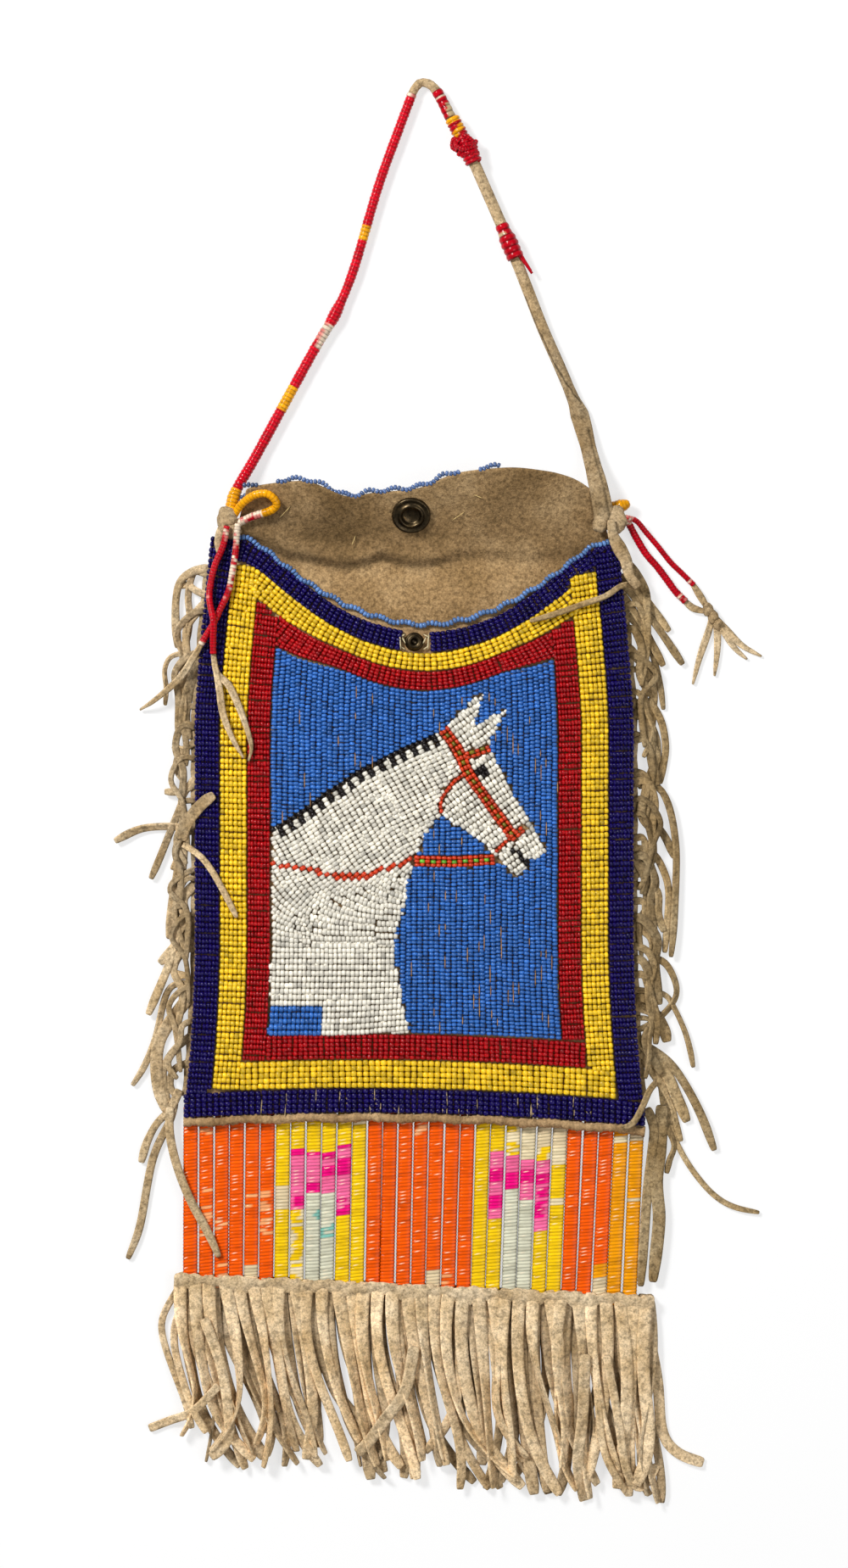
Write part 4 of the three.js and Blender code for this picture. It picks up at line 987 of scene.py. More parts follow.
class BeadWork:
    # a coarse map of the beads laid so far, for finding neighbours
    def __init__(self):
        self.cells = {}

    def cellOf(self, x, y):
        return int(x // sewing["cell"]), int(y // sewing["cell"])

    def around(self, x, y):  # offsets of the beads in the nearest cells
        i, j = self.cellOf(x, y)
        for a in range(i - 1, i + 2):
            for b in range(j - 1, j + 2):
                for px, py in self.cells.get((a, b), ()):
                    yield px - x, py - y

    def near(self, x, y, reach):
        return any(dx ** 2 + dy ** 2 < reach * reach for dx, dy in self.around(x, y))

    def crowded(self, x, y, angle, along, across):
        cs, sn = math.cos(angle), math.sin(angle)
        return any(abs(dx * cs + dy * sn) < along and abs(dy * cs - dx * sn) < across
                   for dx, dy in self.around(x, y))

    def sew(self, x, y, angle, length, width, lift, colour, heap):
        spread = rng.normal(0, 1, 6)
        x += sewing["shift"] * spread[0]
        y += sewing["shift"] * spread[1]
        angle += sewing["turn"] * spread[2]
        self.cells.setdefault(self.cellOf(x, y), []).append((x, y))
        z = frontZ(x, y) + sewing["seat"] * width + lift + sewing["rise"] * spread[3]
        long, wide = length * (1 + sewing["size"] * spread[4]), width * (1 + sewing["size"] * spread[5])
        tone = clamp(1 + sewing["shade"] * rng.normal(), 0.55, 1.4)
        heap.append((x, y, z, angle, long, wide, *shade(colour, tone)))


def copyBeads(name, heap, finish, slot, nodes=()):
    rows = np.array(heap)
    count = len(rows)
    shape = np.array([v.co[:] for v in barrel.vertices])
    middle = rows[:, :3]
    step = 0.4  # the hide's slope under each bead
    slopeX = np.array([(frontZ(x + step, y) - frontZ(x - step, y)) / (2 * step) for x, y in middle[:, :2]])
    slopeY = np.array([(frontZ(x, y + step) - frontZ(x, y - step)) / (2 * step) for x, y in middle[:, :2]])
    up = np.stack([-slopeX, -slopeY, np.ones(count)], 1)
    up /= np.linalg.norm(up, axis=1, keepdims=True)
    ahead = np.stack([np.cos(rows[:, 3]), np.sin(rows[:, 3]), np.zeros(count)], 1)
    ahead -= up * np.sum(ahead * up, 1, keepdims=True)
    ahead /= np.linalg.norm(ahead, axis=1, keepdims=True)
    across = np.cross(up, ahead)
    half = rows[:, 4:6] / 2
    points = (middle[:, None] + ahead[:, None] * (shape[None, :, :1] * half[:, None, :1])
              + across[:, None] * (shape[None, :, 1:2] * half[:, None, 1:])
              + up[:, None] * (shape[None, :, 2:] * half[:, None, 1:]))
    corners = np.empty(len(barrel.loops), dtype=np.int32)
    barrel.loops.foreach_get("vertex_index", corners)
    starts = np.empty(len(barrel.polygons), dtype=np.int32)
    barrel.polygons.foreach_get("loop_start", starts)
    mesh = bpy.data.meshes.new(name)
    mesh.vertices.add(count * len(shape))
    mesh.loops.add(count * len(corners))
    mesh.polygons.add(count * len(starts))
    order = np.arange(count, dtype=np.int32)[:, None]
    mesh.vertices.foreach_set("co", points.ravel())
    mesh.loops.foreach_set("vertex_index", (order * len(shape) + corners).ravel())
    mesh.polygons.foreach_set("loop_start", (order * len(corners) + starts).ravel())
    mesh.update(calc_edges=True)
    dye = mesh.attributes.new("dye", "FLOAT_COLOR", "POINT")
    colours = np.ones((count, len(shape), 4))
    # painted shade: each bead is darker at its two ends, where it meets its neighbours, and a little lighter in its
    # body to make up for it
    atHole = np.abs(shape[:, 0]) > 0.9
    tones = np.where(atHole, sewing["holeTone"], sewing["bodyTone"])
    colours[:, :, :3] = rows[:, None, 6:9] * tones[None, :, None]
    dye.data.foreach_set("color", colours.ravel())
    placeMesh(name, mesh, finish, slot, nodes)
    print(name, count, "beads")


# border lanes, from the dark blue one inwards: widths, beads in a row and row pitches
lanes = {
    "gap": 0.4, "margin": 0.4, "mouthMargin": 2.3, "hump": 0.5, "bow": 0.12, "closest": 0.8,
    "overlap": (1.06, 1.02),
    "side": (8.1, 8.7, 7.3), "hem": (7.8, 9.1, 8.2), "mouth": (6.6, 5.7, 6.0),
    "sideBeads": (7, 6, 7), "hemBeads": (5, 5, 6), "mouthBeads": (5, 4, 5),
    "sidePitch": (1.83, 1.88, 1.78), "hemPitch": (1.98, 1.95, 1.76), "mouthPitch": (1.86, 1.92, 1.76),
    "colours": (paint(16, 3, 80), paint(240, 198, 30), paint(168, 4, 12)),
    "cornerFall": (-0.8, -0.1, 0.17, 0.33), "studPatch": (-3.7, 4.2, 59.4),
    "rightYellowTop": 84.9, "leastDark": 4.9,
}


def laneStarts(widths, margin):
    starts = [margin]
    for width in widths:
        starts.append(starts[-1] + width + lanes["gap"])
    return starts


sideStart = laneStarts(lanes["side"], lanes["margin"])
hemStart = laneStarts(lanes["hem"], lanes["margin"])
mouthStart = laneStarts(lanes["mouth"], lanes["mouthMargin"])
border = BeadWork()
laneHeaps = ([], [], [])


def sewRow(k, a, b, beads, pitch, keep):
    run = math.dist(a, b)
    angle = math.atan2(b[1] - a[1], b[0] - a[0])
    bow = lanes["bow"] * rng.normal()
    long, wide = lanes["overlap"]
    for i in range(beads):
        u = (i + 0.5) / beads
        arch = 1 - (2 * u - 1) ** 2
        x, y = lerp(a[0], b[0], u), lerp(a[1], b[1], u)
        x -= math.sin(angle) * bow * arch
        y += math.cos(angle) * bow * arch
        if keep(x, y) and not border.near(x, y, lanes["closest"]):
            border.sew(x, y, angle, long * run / beads, pitch * wide, lanes["hump"] * arch,
                       lanes["colours"][k], laneHeaps[k])


def clearOfStud(x, y):
    left, right, low = lanes["studPatch"]
    return not (left < x < right and y > low)


def mouthFall(k, x):  # how far a lane starts below the mouth: the lanes lie flatter than it near the corners
    out = abs(x - pouch["mouthMiddle"]) / pouch["mouthHalfSpan"]
    return mouthStart[k] * (1 + lanes["cornerFall"][k] * smooth((out - 0.4) / 0.5))


def laneTop(k, x):  # where a side lane ends under the mouth
    top = mouth(x) - mouthFall(k, x)
    if k == 1 and x > 0:
        return max(top, min(lanes["rightYellowTop"], mouth(x) - lanes["leastDark"]))
    return top


def underMouth(k, x, y):  # the dark lane leaves the right corner of the yellow one open
    inYellow = sideStart[1] < sideHalf(y) - x < sideStart[2] and y < laneTop(1, x) + 0.4
    return clearOfStud(x, y) and not (k == 0 and x > 0 and inYellow)


for k in range(3):
    sideWide, hemWide, mouthWide = lanes["side"][k], lanes["hem"][k], lanes["mouth"][k]
    # along the hem
    pitch = lanes["hemPitch"][k]
    low = hemStart[k]
    hemY = hemLine + low
    if k == 0:
        leftX, rightX = -sideHalf(hemY) + sideStart[0] + 0.8, sideHalf(hemY) - sideStart[0] - 0.8
    else:
        leftX = -sideHalf(hemY) + sideStart[k + 1] + pitch / 2
        rightX = sideHalf(hemY) - sideStart[k] - 1
    count = round((rightX - leftX) / pitch)
    for i in range(count + 1):
        x = lerp(leftX, rightX, i / count)
        skew = 0.25 * math.sin(x * 0.13 + k)
        sewRow(k, (x, hem(x) + low), (x + skew, hem(x) + low + hemWide), lanes["hemBeads"][k], pitch,
               clearOfStud)
    # up the two sides
    pitch = lanes["sidePitch"][k]
    for hand in (-1, 1):
        floor = hemStart[k] if (k and hand < 0) else hemStart[k + 1]
        y = hemLine + floor + pitch / 2 - 4
        while y < shoulderLine + 1.5:
            outer, inner = sideHalf(y) - sideStart[k], sideHalf(y) - sideStart[k] - sideWide
            drop = sideWide * math.tan(math.radians(2 + 9 * smooth((y - 30) / 50)))
            lowest = floor + (0.5 if k and hand < 0 else -0.2)
            sewRow(k, (hand * outer, y + drop / 2), (hand * inner, y - drop / 2), lanes["sideBeads"][k],
                   pitch, lambda px, py: hem(px) + lowest < py < laneTop(k, px) - 0.4)
            y += pitch * (1 + 0.04 * rng.normal())
    # under the mouth
    pitch = lanes["mouthPitch"][k]
    x = -sideHalf(70) + sideStart[k + 1] - 1
    while x < sideHalf(70) - sideStart[k + 1] + 1:
        slope = (mouth(x + 0.3) - mouth(x - 0.3)) / 0.6
        reach = math.hypot(1, slope)
        wide = mouthFall(k + 1, x) - lanes["gap"] - mouthFall(k, x)
        middleY = mouth(x) - mouthFall(k, x) - wide / 2
        half = wide / 2 / reach ** 0.7
        nx, ny = -slope / reach, 1 / reach
        beads = max(3, round(2 * half / (mouthWide / lanes["mouthBeads"][k])))
        sewRow(k, (x + nx * half, middleY + ny * half), (x - nx * half, middleY - ny * half), beads, pitch,
               lambda px, py: underMouth(k, px, py))
        x += pitch / reach
# beads in open spots where the lanes meet, found on a grid of steps from its lower left corner
spots = {"step": 0.8, "corner": (-70.4, 58), "steps": (176, 48), "outside": 38, "inset": 0.4, "room": 1.15,
         "bead": (1.25, 1.8, 0.3), "slant": 0.15}
inset = spots["inset"]
for i in range(spots["steps"][0]):
    for j in range(spots["steps"][1]):
        x, y = spots["corner"][0] + spots["step"] * i, spots["corner"][1] + spots["step"] * j
        fromSide, fromMouth = sideHalf(y) - abs(x), mouth(x) - y
        for k in range(3):
            inSide = inset < fromSide - sideStart[k] < lanes["side"][k] - inset and y < laneTop(k, x) - inset
            inLane = mouthFall(k, x) + inset < fromMouth < mouthFall(k + 1, x) - lanes["gap"] - inset
            inMouth = inLane and fromSide > sideStart[k] + inset
            wanted = abs(x) > spots["outside"] and (inSide or inMouth) and underMouth(k, x, y)
            if wanted and not border.near(x, y, spots["room"]):
                border.sew(x, y, math.copysign(spots["slant"], -x), *spots["bead"], lanes["colours"][k],
                           laneHeaps[k])
                break
copyBeads("darkBlueLane", laneHeaps[0], deepGlass, "dark_blue_beads", ["lane_dark_blue"])
copyBeads("yellowLane", laneHeaps[1], warmGlass, "yellow_beads", ["lane_yellow"])
copyBeads("redLane", laneHeaps[2], redGlass, "red_beads", ["lane_red"])

# horse's head and the blue field round it
horse = {
    "white": paint(235, 229, 214), "black": paint(26, 20, 20), "orange": paint(206, 56, 14),
    "green": paint(104, 176, 48), "olive": paint(124, 112, 16), "blue": paint(48, 106, 186),
    "headLean": math.radians(35), "pitch": 1.98, "length": 1.44, "room": (1.1, 1.5),
    "closeRoom": (0.85, 0.95), "fieldPitch": 2.0, "fieldLength": 1.29,
    "mane": [(-47.5, 0.6), (-41.6, 3.9), (-36, 7.6), (-30.4, 12), (-24.8, 15.4), (-19.2, 19.6), (-13.6, 22.4),
             (-8, 25.2), (-2.4, 28), (3.2, 30.2), (8.8, 32.8)],
    "head": [(10.8, 34.7), (13.6, 37.5), (16.4, 39.8), (18.6, 42.6), (22.8, 44.5), (20.6, 39.2), (19.5, 34.2),
             (22.8, 35.6), (25.6, 37.8), (29.5, 38.9), (27, 34.2), (24.8, 28.8), (26.2, 24.6), (30.1, 16.8),
             (32.6, 11.8), (36.3, 6.4), (38.8, 1.7), (41.3, -3.6), (43.5, -6.4), (40.2, -9.2), (37.4, -9),
             (36.8, -12), (34, -14.3), (29.8, -11.5), (26.5, -7.6), (22.8, -4.2), (17.2, -0.3), (11.6, 3.4),
             (9.1, 5)],
    "latch": [(8.8, 9.8), (10.2, 12.6), (13, 16.2), (16.7, 19)],
    "crest": [(14.4, 26.6), (10.8, 33.6)],
    "chest": [(9.1, 5), (4.6, 1.4), (2.1, -3.6), (-0.4, -9.8), (-1.8, -15.4), (-3.2, -23.8), (-5.7, -32.2),
              (-6.9, -39.2), (-6, -44.8), (-4.3, -54.6), (-2.1, -64.4), (-2.1, -72), (-60, -72), (-60, -6)],
    "cheek": [(9.4, 33.6), (14.4, 26.6), (17.8, 19), (24.2, 9.8), (29.8, 2), (32.3, -1.4)],
    "rein": [(0.1, -9.8), (13, -10), (26.5, -9.2)],
    "neckRein": [(-47.5, -10.9), (-36.5, -12.3), (-24.8, -14.8), (-16.4, -14.8), (-7.4, -11.5), (-0.7, -9.5)],
    "brow": [(16.6, 24.6), (21, 25.9), (25.2, 27.4)],
    "nose": [(31.6, -2.6), (36, 1)], "chin": [(26.6, -6.9), (31.6, -2)],
    "throat": [(16.2, 18.8), (13, 16.2), (10.2, 12.6), (8.8, 9.8), (8.9, 5.8)],
    "ears": [[(20.2, 41), (22.8, 44.9)], [(27, 37), (30, 39.4)]],
    "bands": 10, "chestLanes": 8, "swell": 0.5, "columns": 51, "reach": 76,
    # straps: which line, how far the beads round it keep off, beads across, row pitch and colour of the dots
    "straps": [("cheek", 1.75, 3, 1.75, "olive"), ("rein", 1.6, 3, 1.82, "green"),
               ("brow", 1.05, 2, 1.7, "olive"), ("nose", 1.0, 2, 1.7, None), ("chin", 0.4, 1, 1.3, None),
               ("throat", 0.45, 1, 1.5, None)],
    "strapBead": 1.22, "strapLift": 0.2, "strapClear": 1.8,
    "lift": 0.05, "overlap": (1.06, 1.01), "thin": 0.7, "mouthHalf": 0.8, "neckReinHalf": 0.66,
    "neckLean": math.radians(60), "chestRise": math.radians(5),
    "earLean": math.radians(55), "earLength": 1.3, "earWidths": (1.9, 1.1), "earBeads": 4,
    # where open spots are looked for: lowest corner and size
    "neckSpan": ((-50, -70), (63, 108)), "headSpan": ((-20, -30), (75, 75)),
    "mouthLine": [(32.3, -5.6), (37.4, -10.6)], "eye": (22.4, 19.6, 1.9), "patch": (-30.4, -57.7),
    "besideCheek": [(13.6, 22.2), (14.3, 21), (15, 19.8)],
}


def insideOf(x, y, outline):
    inside = False
    for (ax, ay), (bx, by) in zip(outline, outline[1:] + outline[:1]):
        if (ay > y) != (by > y) and x < (bx - ax) * (y - ay) / (by - ay) + ax:
            inside = not inside
    return inside


def awayFrom(x, y, line):
    best = 1e9
    for (ax, ay), (bx, by) in zip(line, line[1:]):
        run = (bx - ax) ** 2 + (by - ay) ** 2
        t = clamp(((x - ax) * (bx - ax) + (y - ay) * (by - ay)) / run)
        best = min(best, math.hypot(x - lerp(ax, bx, t), y - lerp(ay, by, t)))
    return best


def inField(x, y):
    if abs(x) > sideHalf(y) - sideStart[3]:
        return False
    return hem(x) + hemStart[3] < y < mouth(x) - mouthFall(3, x)


def sewnLift(share, count):  # beads lie lower along each line of sewing
    within = share * count % 1
    return horse["swell"] * clamp(3 * min(within, 1 - within))


def fieldLift(x, y):
    low, high = hem(x) + hemStart[3], mouth(x) - mouthStart[3]
    return sewnLift((y - low) / (high - low), horse["bands"])


def chestLift(x, y):
    return sewnLift((x / (sideHalf(y) - sideStart[3]) + 1) / 2, horse["chestLanes"])


def figureLift(x, y):
    return chestLift(x, y) + horse["lift"]


headShape = horse["head"] + horse["latch"] + horse["crest"]
neckShape = horse["mane"] + horse["crest"][::-1] + horse["latch"][::-1] + horse["chest"]
figure = BeadWork()
whites, blacks, oranges, blues = [], [], [], []
pitch, length = horse["pitch"], horse["length"]
longer, wider = horse["overlap"]


def sewStrap(line, beadsAcross, rowPitch, dots):  # every second row has a dot in the middle
    route = smoothRoute([(*p, 0) for p in line], 60)
    rows = max(2, round(routeLength(route) / rowPitch))
    for i in range(rows):
        middle, ahead = alongRoute(route, (i + 0.5) / rows)
        angle = math.atan2(ahead.y, ahead.x) + math.pi / 2
        for j in range(beadsAcross):
            off = (j - (beadsAcross - 1) / 2) * horse["strapBead"]
            x, y = middle.x + math.cos(angle) * off, middle.y + math.sin(angle) * off
            dotted = dots and i % 2 and j == beadsAcross // 2
            figure.sew(x, y, angle, 1.24, rowPitch * 1.02, chestLift(x, y) + horse["strapLift"],
                       horse[dots if dotted else "orange"], oranges)


for name, _, beadsAcross, rowPitch, dots in horse["straps"]:
    sewStrap(horse[name], beadsAcross, rowPitch, dots)


def clearOfStraps(x, y):
    return all(awayFrom(x, y, horse[row[0]]) > row[1] for row in horse["straps"])


def runsAlong(a, b, wanted, step=0.25):  # stretches of the line from a to b where the rule holds, as shares
    count = round(math.dist(a, b) / step)
    runs, start = [], None
    for i in range(count + 2):
        s = i / count
        if i <= count and wanted(lerp(a[0], b[0], s), lerp(a[1], b[1], s)):
            start = s if start is None else start
        elif start is not None:
            runs.append((start, s))
            start = None
    return runs


def figureDye(x, y):
    ex, ey, er = horse["eye"]
    if math.hypot(x - ex, y - ey) < er or awayFrom(x, y, horse["mouthLine"]) < horse["mouthHalf"]:
        return horse["black"], blacks
    if awayFrom(x, y, horse["neckRein"]) < horse["neckReinHalf"]:
        return horse["orange"], oranges
    if x < horse["patch"][0] and y < horse["patch"][1]:
        return horse["blue"], blues
    return horse["white"], whites


def sewFigure(x, y, angle, maneBead, beadLength=length):
    if inField(x, y) and not figure.crowded(x, y, angle, *horse["room"]):
        dyed = (horse["black"], blacks) if maneBead else figureDye(x, y)
        figure.sew(x, y, angle, longer * beadLength, pitch * wider, figureLift(x, y), *dyed)


# head: straight rows, each filled evenly from edge to edge
lean, rowEnds = horse["headLean"], (-20, 60)
for i in range(-18, 14):
    v = i * pitch
    ends = [(u * math.cos(lean) - v * math.sin(lean), u * math.sin(lean) + v * math.cos(lean))
            for u in rowEnds]
    for s0, s1 in runsAlong(*ends, lambda x, y: insideOf(x, y, headShape) and clearOfStraps(x, y)):
        run = (s1 - s0) * (rowEnds[1] - rowEnds[0])
        beads = max(1, round(run / length))
        for k in range(beads):
            s = lerp(s0, s1, (k + 0.5) / beads)
            sewFigure(lerp(ends[0][0], ends[1][0], s), lerp(ends[0][1], ends[1][1], s), lean, False,
                      0.96 * clamp(run / beads, 1.1, 1.7))
for tip in horse["ears"]:
    for k in range(horse["earBeads"]):
        t = k / (horse["earBeads"] - 1)
        x, y = lerp(tip[0][0], tip[1][0], t), lerp(tip[0][1], tip[1][1], t)
        figure.sew(x, y, horse["earLean"], horse["earLength"], lerp(*horse["earWidths"], t), figureLift(x, y),
                   horse["white"], whites)


# neck and chest: rows start at the mane and turn level in the chest
def rowAngle(x, y):
    steep = smooth((y + 44 - 0.3 * (x + 47.7)) / 30)
    rising = smooth((-46 - y) / 20) * smooth((x + 32) / 20)
    return horse["chestRise"] * rising - horse["neckLean"] * steep


def sewNeckRow(x, y, deepMane):
    for i in range(90):
        angle = rowAngle(x, y)
        if i and not insideOf(x, y, neckShape):
            break
        sewFigure(x, y, angle, i < deepMane)
        x += length * math.cos(angle)
        y += length * math.sin(angle)


maneRoute = smoothRoute([(*p, 0) for p in horse["mane"]], 120)
maneRows = round(routeLength(maneRoute) / pitch)
for i in range(maneRows):
    at = alongRoute(maneRoute, (i + 0.5) / maneRows)[0]
    sewNeckRow(at.x + 0.3, at.y - 0.5, 3 if i % 2 else 1)
y = 0.0
while y > -72:
    left = -(sideHalf(y) - sideStart[3] - 1.1)
    sewNeckRow(left, y, 0)
    y -= pitch / max(0.45, math.cos(rowAngle(left, y)))


def fillOpen(shape, angleAt, room, width, lowest, span):  # short rows where the others leave the hide open
    step = 0.9
    for i in range(round(span[0] / step)):
        for j in range(round(span[1] / step)):
            x, y = lowest[0] + i * step, lowest[1] + j * step
            while (inField(x, y) and insideOf(x, y, shape) and clearOfStraps(x, y)
                   and not figure.crowded(x, y, angleAt(x, y), *room)):
                ahead = angleAt(x, y)
                figure.sew(x, y, ahead, longer * length, pitch * width, figureLift(x, y), *figureDye(x, y))
                x += length * math.cos(ahead)
                y += length * math.sin(ahead)


fillOpen(neckShape, rowAngle, horse["room"], wider, *horse["neckSpan"])
fillOpen(neckShape, rowAngle, horse["closeRoom"], horse["thin"], *horse["neckSpan"])
fillOpen(headShape, lambda x, y: lean, horse["closeRoom"], horse["thin"], *horse["headSpan"])
for x, y in horse["besideCheek"]:
    figure.sew(x, y, lean, length, pitch * horse["thin"], figureLift(x, y), horse["white"], whites)


# blue field: upright columns round the figure
def inSky(x, y):
    return (inField(x, y) and not insideOf(x, y, headShape) and not insideOf(x, y, neckShape)
            and awayFrom(x, y, horse["rein"]) > horse["strapClear"])


# thread that shows: colours, how many along the hem, and x, y, angle and length of each straw on the flap
stitches = {
    "field": paint(190, 140, 84), "hem": paint(190, 164, 124), "stud": paint(216, 200, 158),
    "straw": paint(206, 178, 118), "hemCount": 46,
    # round the stud: how far out and up, angle and length
    "studRows": [(4.6, 0, 1.5, 5.2), (4, 1.9, -0.5, 2.2), (4, -1.9, 0.6, 2.4), (3.4, 0.4, 1.1, 2.4)],
    "straws": [(14.6, 103.8, 0.6, 5), (-6.4, 91.6, 0.2, 4.4), (-42.6, 105.1, 0.8, 5), (21, 110, -0.4, 3),
               (-20, 96, 1.2, 3.4)],
}
field = BeadWork()
threads = []
columns, reach = horse["columns"], horse["reach"]
for column in range(columns):
    u = lerp(-1, 1, (column + 0.5) / columns)
    for s0, s1 in runsAlong((0, -reach), (0, reach), lambda _, y: inSky(u * (sideHalf(y) - sideStart[3]), y)):
        run = (s1 - s0) * 2 * reach
        beads = max(1, round(run / horse["fieldLength"]))
        for k in range(beads):
            y = lerp(-reach, reach, lerp(s0, s1, (k + 0.5) / beads))
            x = u * (sideHalf(y) - sideStart[3]) + 0.12 * math.sin(y * 0.21 + column * 1.7)
            if not figure.near(x, y, 0.9):
                field.sew(x, y, math.pi / 2, 0.96 * run / beads, horse["fieldPitch"], fieldLift(x, y),
                          horse["blue"], blues)
            if scatter(column * 131 + k, 12) < 0.02 + 0.02 * smooth(x / 30):  # thread between two columns
                tint = shade(stitches["field"], 0.7 + 0.6 * scatter(k, column + 3))
                threads.append((x + 0.97, y, frontZ(x, y) + 1.75 + fieldLift(x, y), math.pi / 2,
                                2 + 3.5 * scatter(k, column), 0.24, *tint))
copyBeads("horseWhite", whites, chalkGlass, "white_beads", ["horse_white"])
copyBeads("horseMane", blacks, deepGlass, "black_beads", ["horse_mane"])
copyBeads("bridleBeads", oranges, warmGlass, "orange_beads", ["bridle_orange"])
copyBeads("blueField", blues, skyGlass, "sky_beads", ["field_blue"])

# pale thread in the hem's lane and round the stud, and straws caught in the flap's nap
for i in range(stitches["hemCount"]):
    x = lerp(-70, 70, scatter(i, 21))
    y = hem(x) + 1.2 + 5 * scatter(i, 22)
    angle = math.pi / 2 + 0.2 * (scatter(i, 23) - 0.5)
    threads.append((x, y, frontZ(x, y) + 1.7, angle, 2 + 3 * scatter(i, 24), 0.3, *stitches["hem"]))
studX, studY = 0.0, mouth(0) - mouthStart[0] - lanes["mouth"][0] / 2
for hand in (-1, 1):
    for off, up, angle, run in stitches["studRows"]:
        x, y = studX + hand * off, studY + up
        z = frontZ(x, y) + (1.9 if off > 4 else 1.2)
        threads.append((x, y, z, hand * angle, run, 0.42, *stitches["stud"]))
for x, y, angle, run in stitches["straws"]:
    threads.append((x, y, backZ(x, y) + 0.9, angle, run, 0.3, *stitches["straw"]))

# bead edging along the mouth and along the flap
edging = {
    "length": 1.25, "width": 1.9, "blue": paint(90, 128, 184),
    "wave": 0.45, "wavePeriod": 8.5, "mouthEnd": 65.5,
    "flapLength": 1.2, "flapWidth": 1.75, "flapBlue": paint(92, 118, 168), "flapWave": 0.6, "flapPeriod": 7,
    # where the flap's beads stand, and where they show: elsewhere they are behind the hide's edge
    "flapEnds": (-58.5, 57), "shown": [(-56.4, -51), (-45, 15.5), (21, 28)],
}
mouthEdge = []
route = smoothRoute([(x, mouth(x), 0) for x in np.linspace(-edging["mouthEnd"], edging["mouthEnd"], 60)], 400)
count = round(routeLength(route) / edging["length"])
for i in range(count):
    at, ahead = alongRoute(route, (i + 0.5) / count)
    turn = 2 * math.pi * (i * edging["length"]) / edging["wavePeriod"]
    off = edging["wave"] * math.sin(turn)
    angle = math.atan2(ahead.y, ahead.x) + 0.3 * math.cos(turn)
    border.sew(at.x - ahead.y * off, at.y + ahead.x * off + 0.2, angle, edging["length"], edging["width"],
               0.1, edging["blue"], mouthEdge)
copyBeads("mouthEdging", mouthEdge, skyGlass, "edge_beads", ["front_edge_beads"])

flapBeads = []
route = [p for p in flapEdgeRoute if edging["flapEnds"][0] < p.x < edging["flapEnds"][1]]
route = smoothRoute([(p.x, p.y, 0) for p in route[::4]], 300)
count = round(routeLength(route) / edging["flapLength"])
for i in range(count):
    at, ahead = alongRoute(route, (i + 0.5) / count)
    turn = 2 * math.pi * i / edging["flapPeriod"]
    shown = any(low < at.x < high for low, high in edging["shown"])
    off = 0.9 + edging["flapWave"] * math.sin(turn) if shown else -1.6
    deep = 0.6 if shown else hide + 1
    dark = 0.55 if at.x < -50 else 0.9
    x, y = at.x - ahead.y * off, at.y + ahead.x * off
    angle = math.atan2(ahead.y, ahead.x) + 0.6 * math.cos(turn)
    flapBeads.append((x, y, backZ(at.x, at.y) - deep, angle, edging["flapLength"], edging["flapWidth"],
                      *shade(edging["flapBlue"], dark * (0.75 + 0.4 * scatter(i, 8)))))
copyBeads("flapEdging", flapBeads, skyGlass, "edge_beads", ["flap_edge_beads"])
copyBeads("sewingThread", threads, mattThread, "hide")
print("beads ready")

# slats: rawhide strips wound with dyed quill
slats = {
    "count": 30, "pitch": 5.1, "width": 4.6, "thick": 1.6, "tuck": 4, "lean": 3,
    "wrap": 1.12, "weltLine": -97, "tickRun": 0.33, "sides": 9, "rowsPerWrap": 4,
    "skew": 0.4, "fullness": (1.05, 0.04), "ridge": 0.2, "uneven": 0.06, "slant": 0.3, "grooveTone": 0.5,
    # from how far out a side is an edge, with its painted shade, and where the painted highlights go along the ridges:
    # middle, spread, reach
    "edges": ((0.95, 0.1), (0.85, 0.8)), "rub": (-0.2, 0.5, 0.2),
    "orange": paint(255, 94, 2), "yellow": paint(255, 208, 14), "golden": paint(248, 160, 4),
    "cream": paint(240, 222, 180), "pink": paint(255, 110, 162), "magenta": paint(246, 6, 128),
    "rubbed": paint(255, 172, 112), "sage": paint(222, 220, 194), "teal": paint(132, 196, 180),
    "bare": paint(232, 210, 168), "glint": paint(255, 238, 206),
    # a slat that starts in one of these dyes has the yellow slot
    "yellowish": ("yellow", "straw", "cream", "golden", "bare"),
    # wraps that alternate between two dyes
    "mixed": {"straw": ("cream", "yellow"), "worn": ("orange", "rubbed"), "streaked": ("pink", "magenta"),
              "mint": ("teal", "sage")},
}
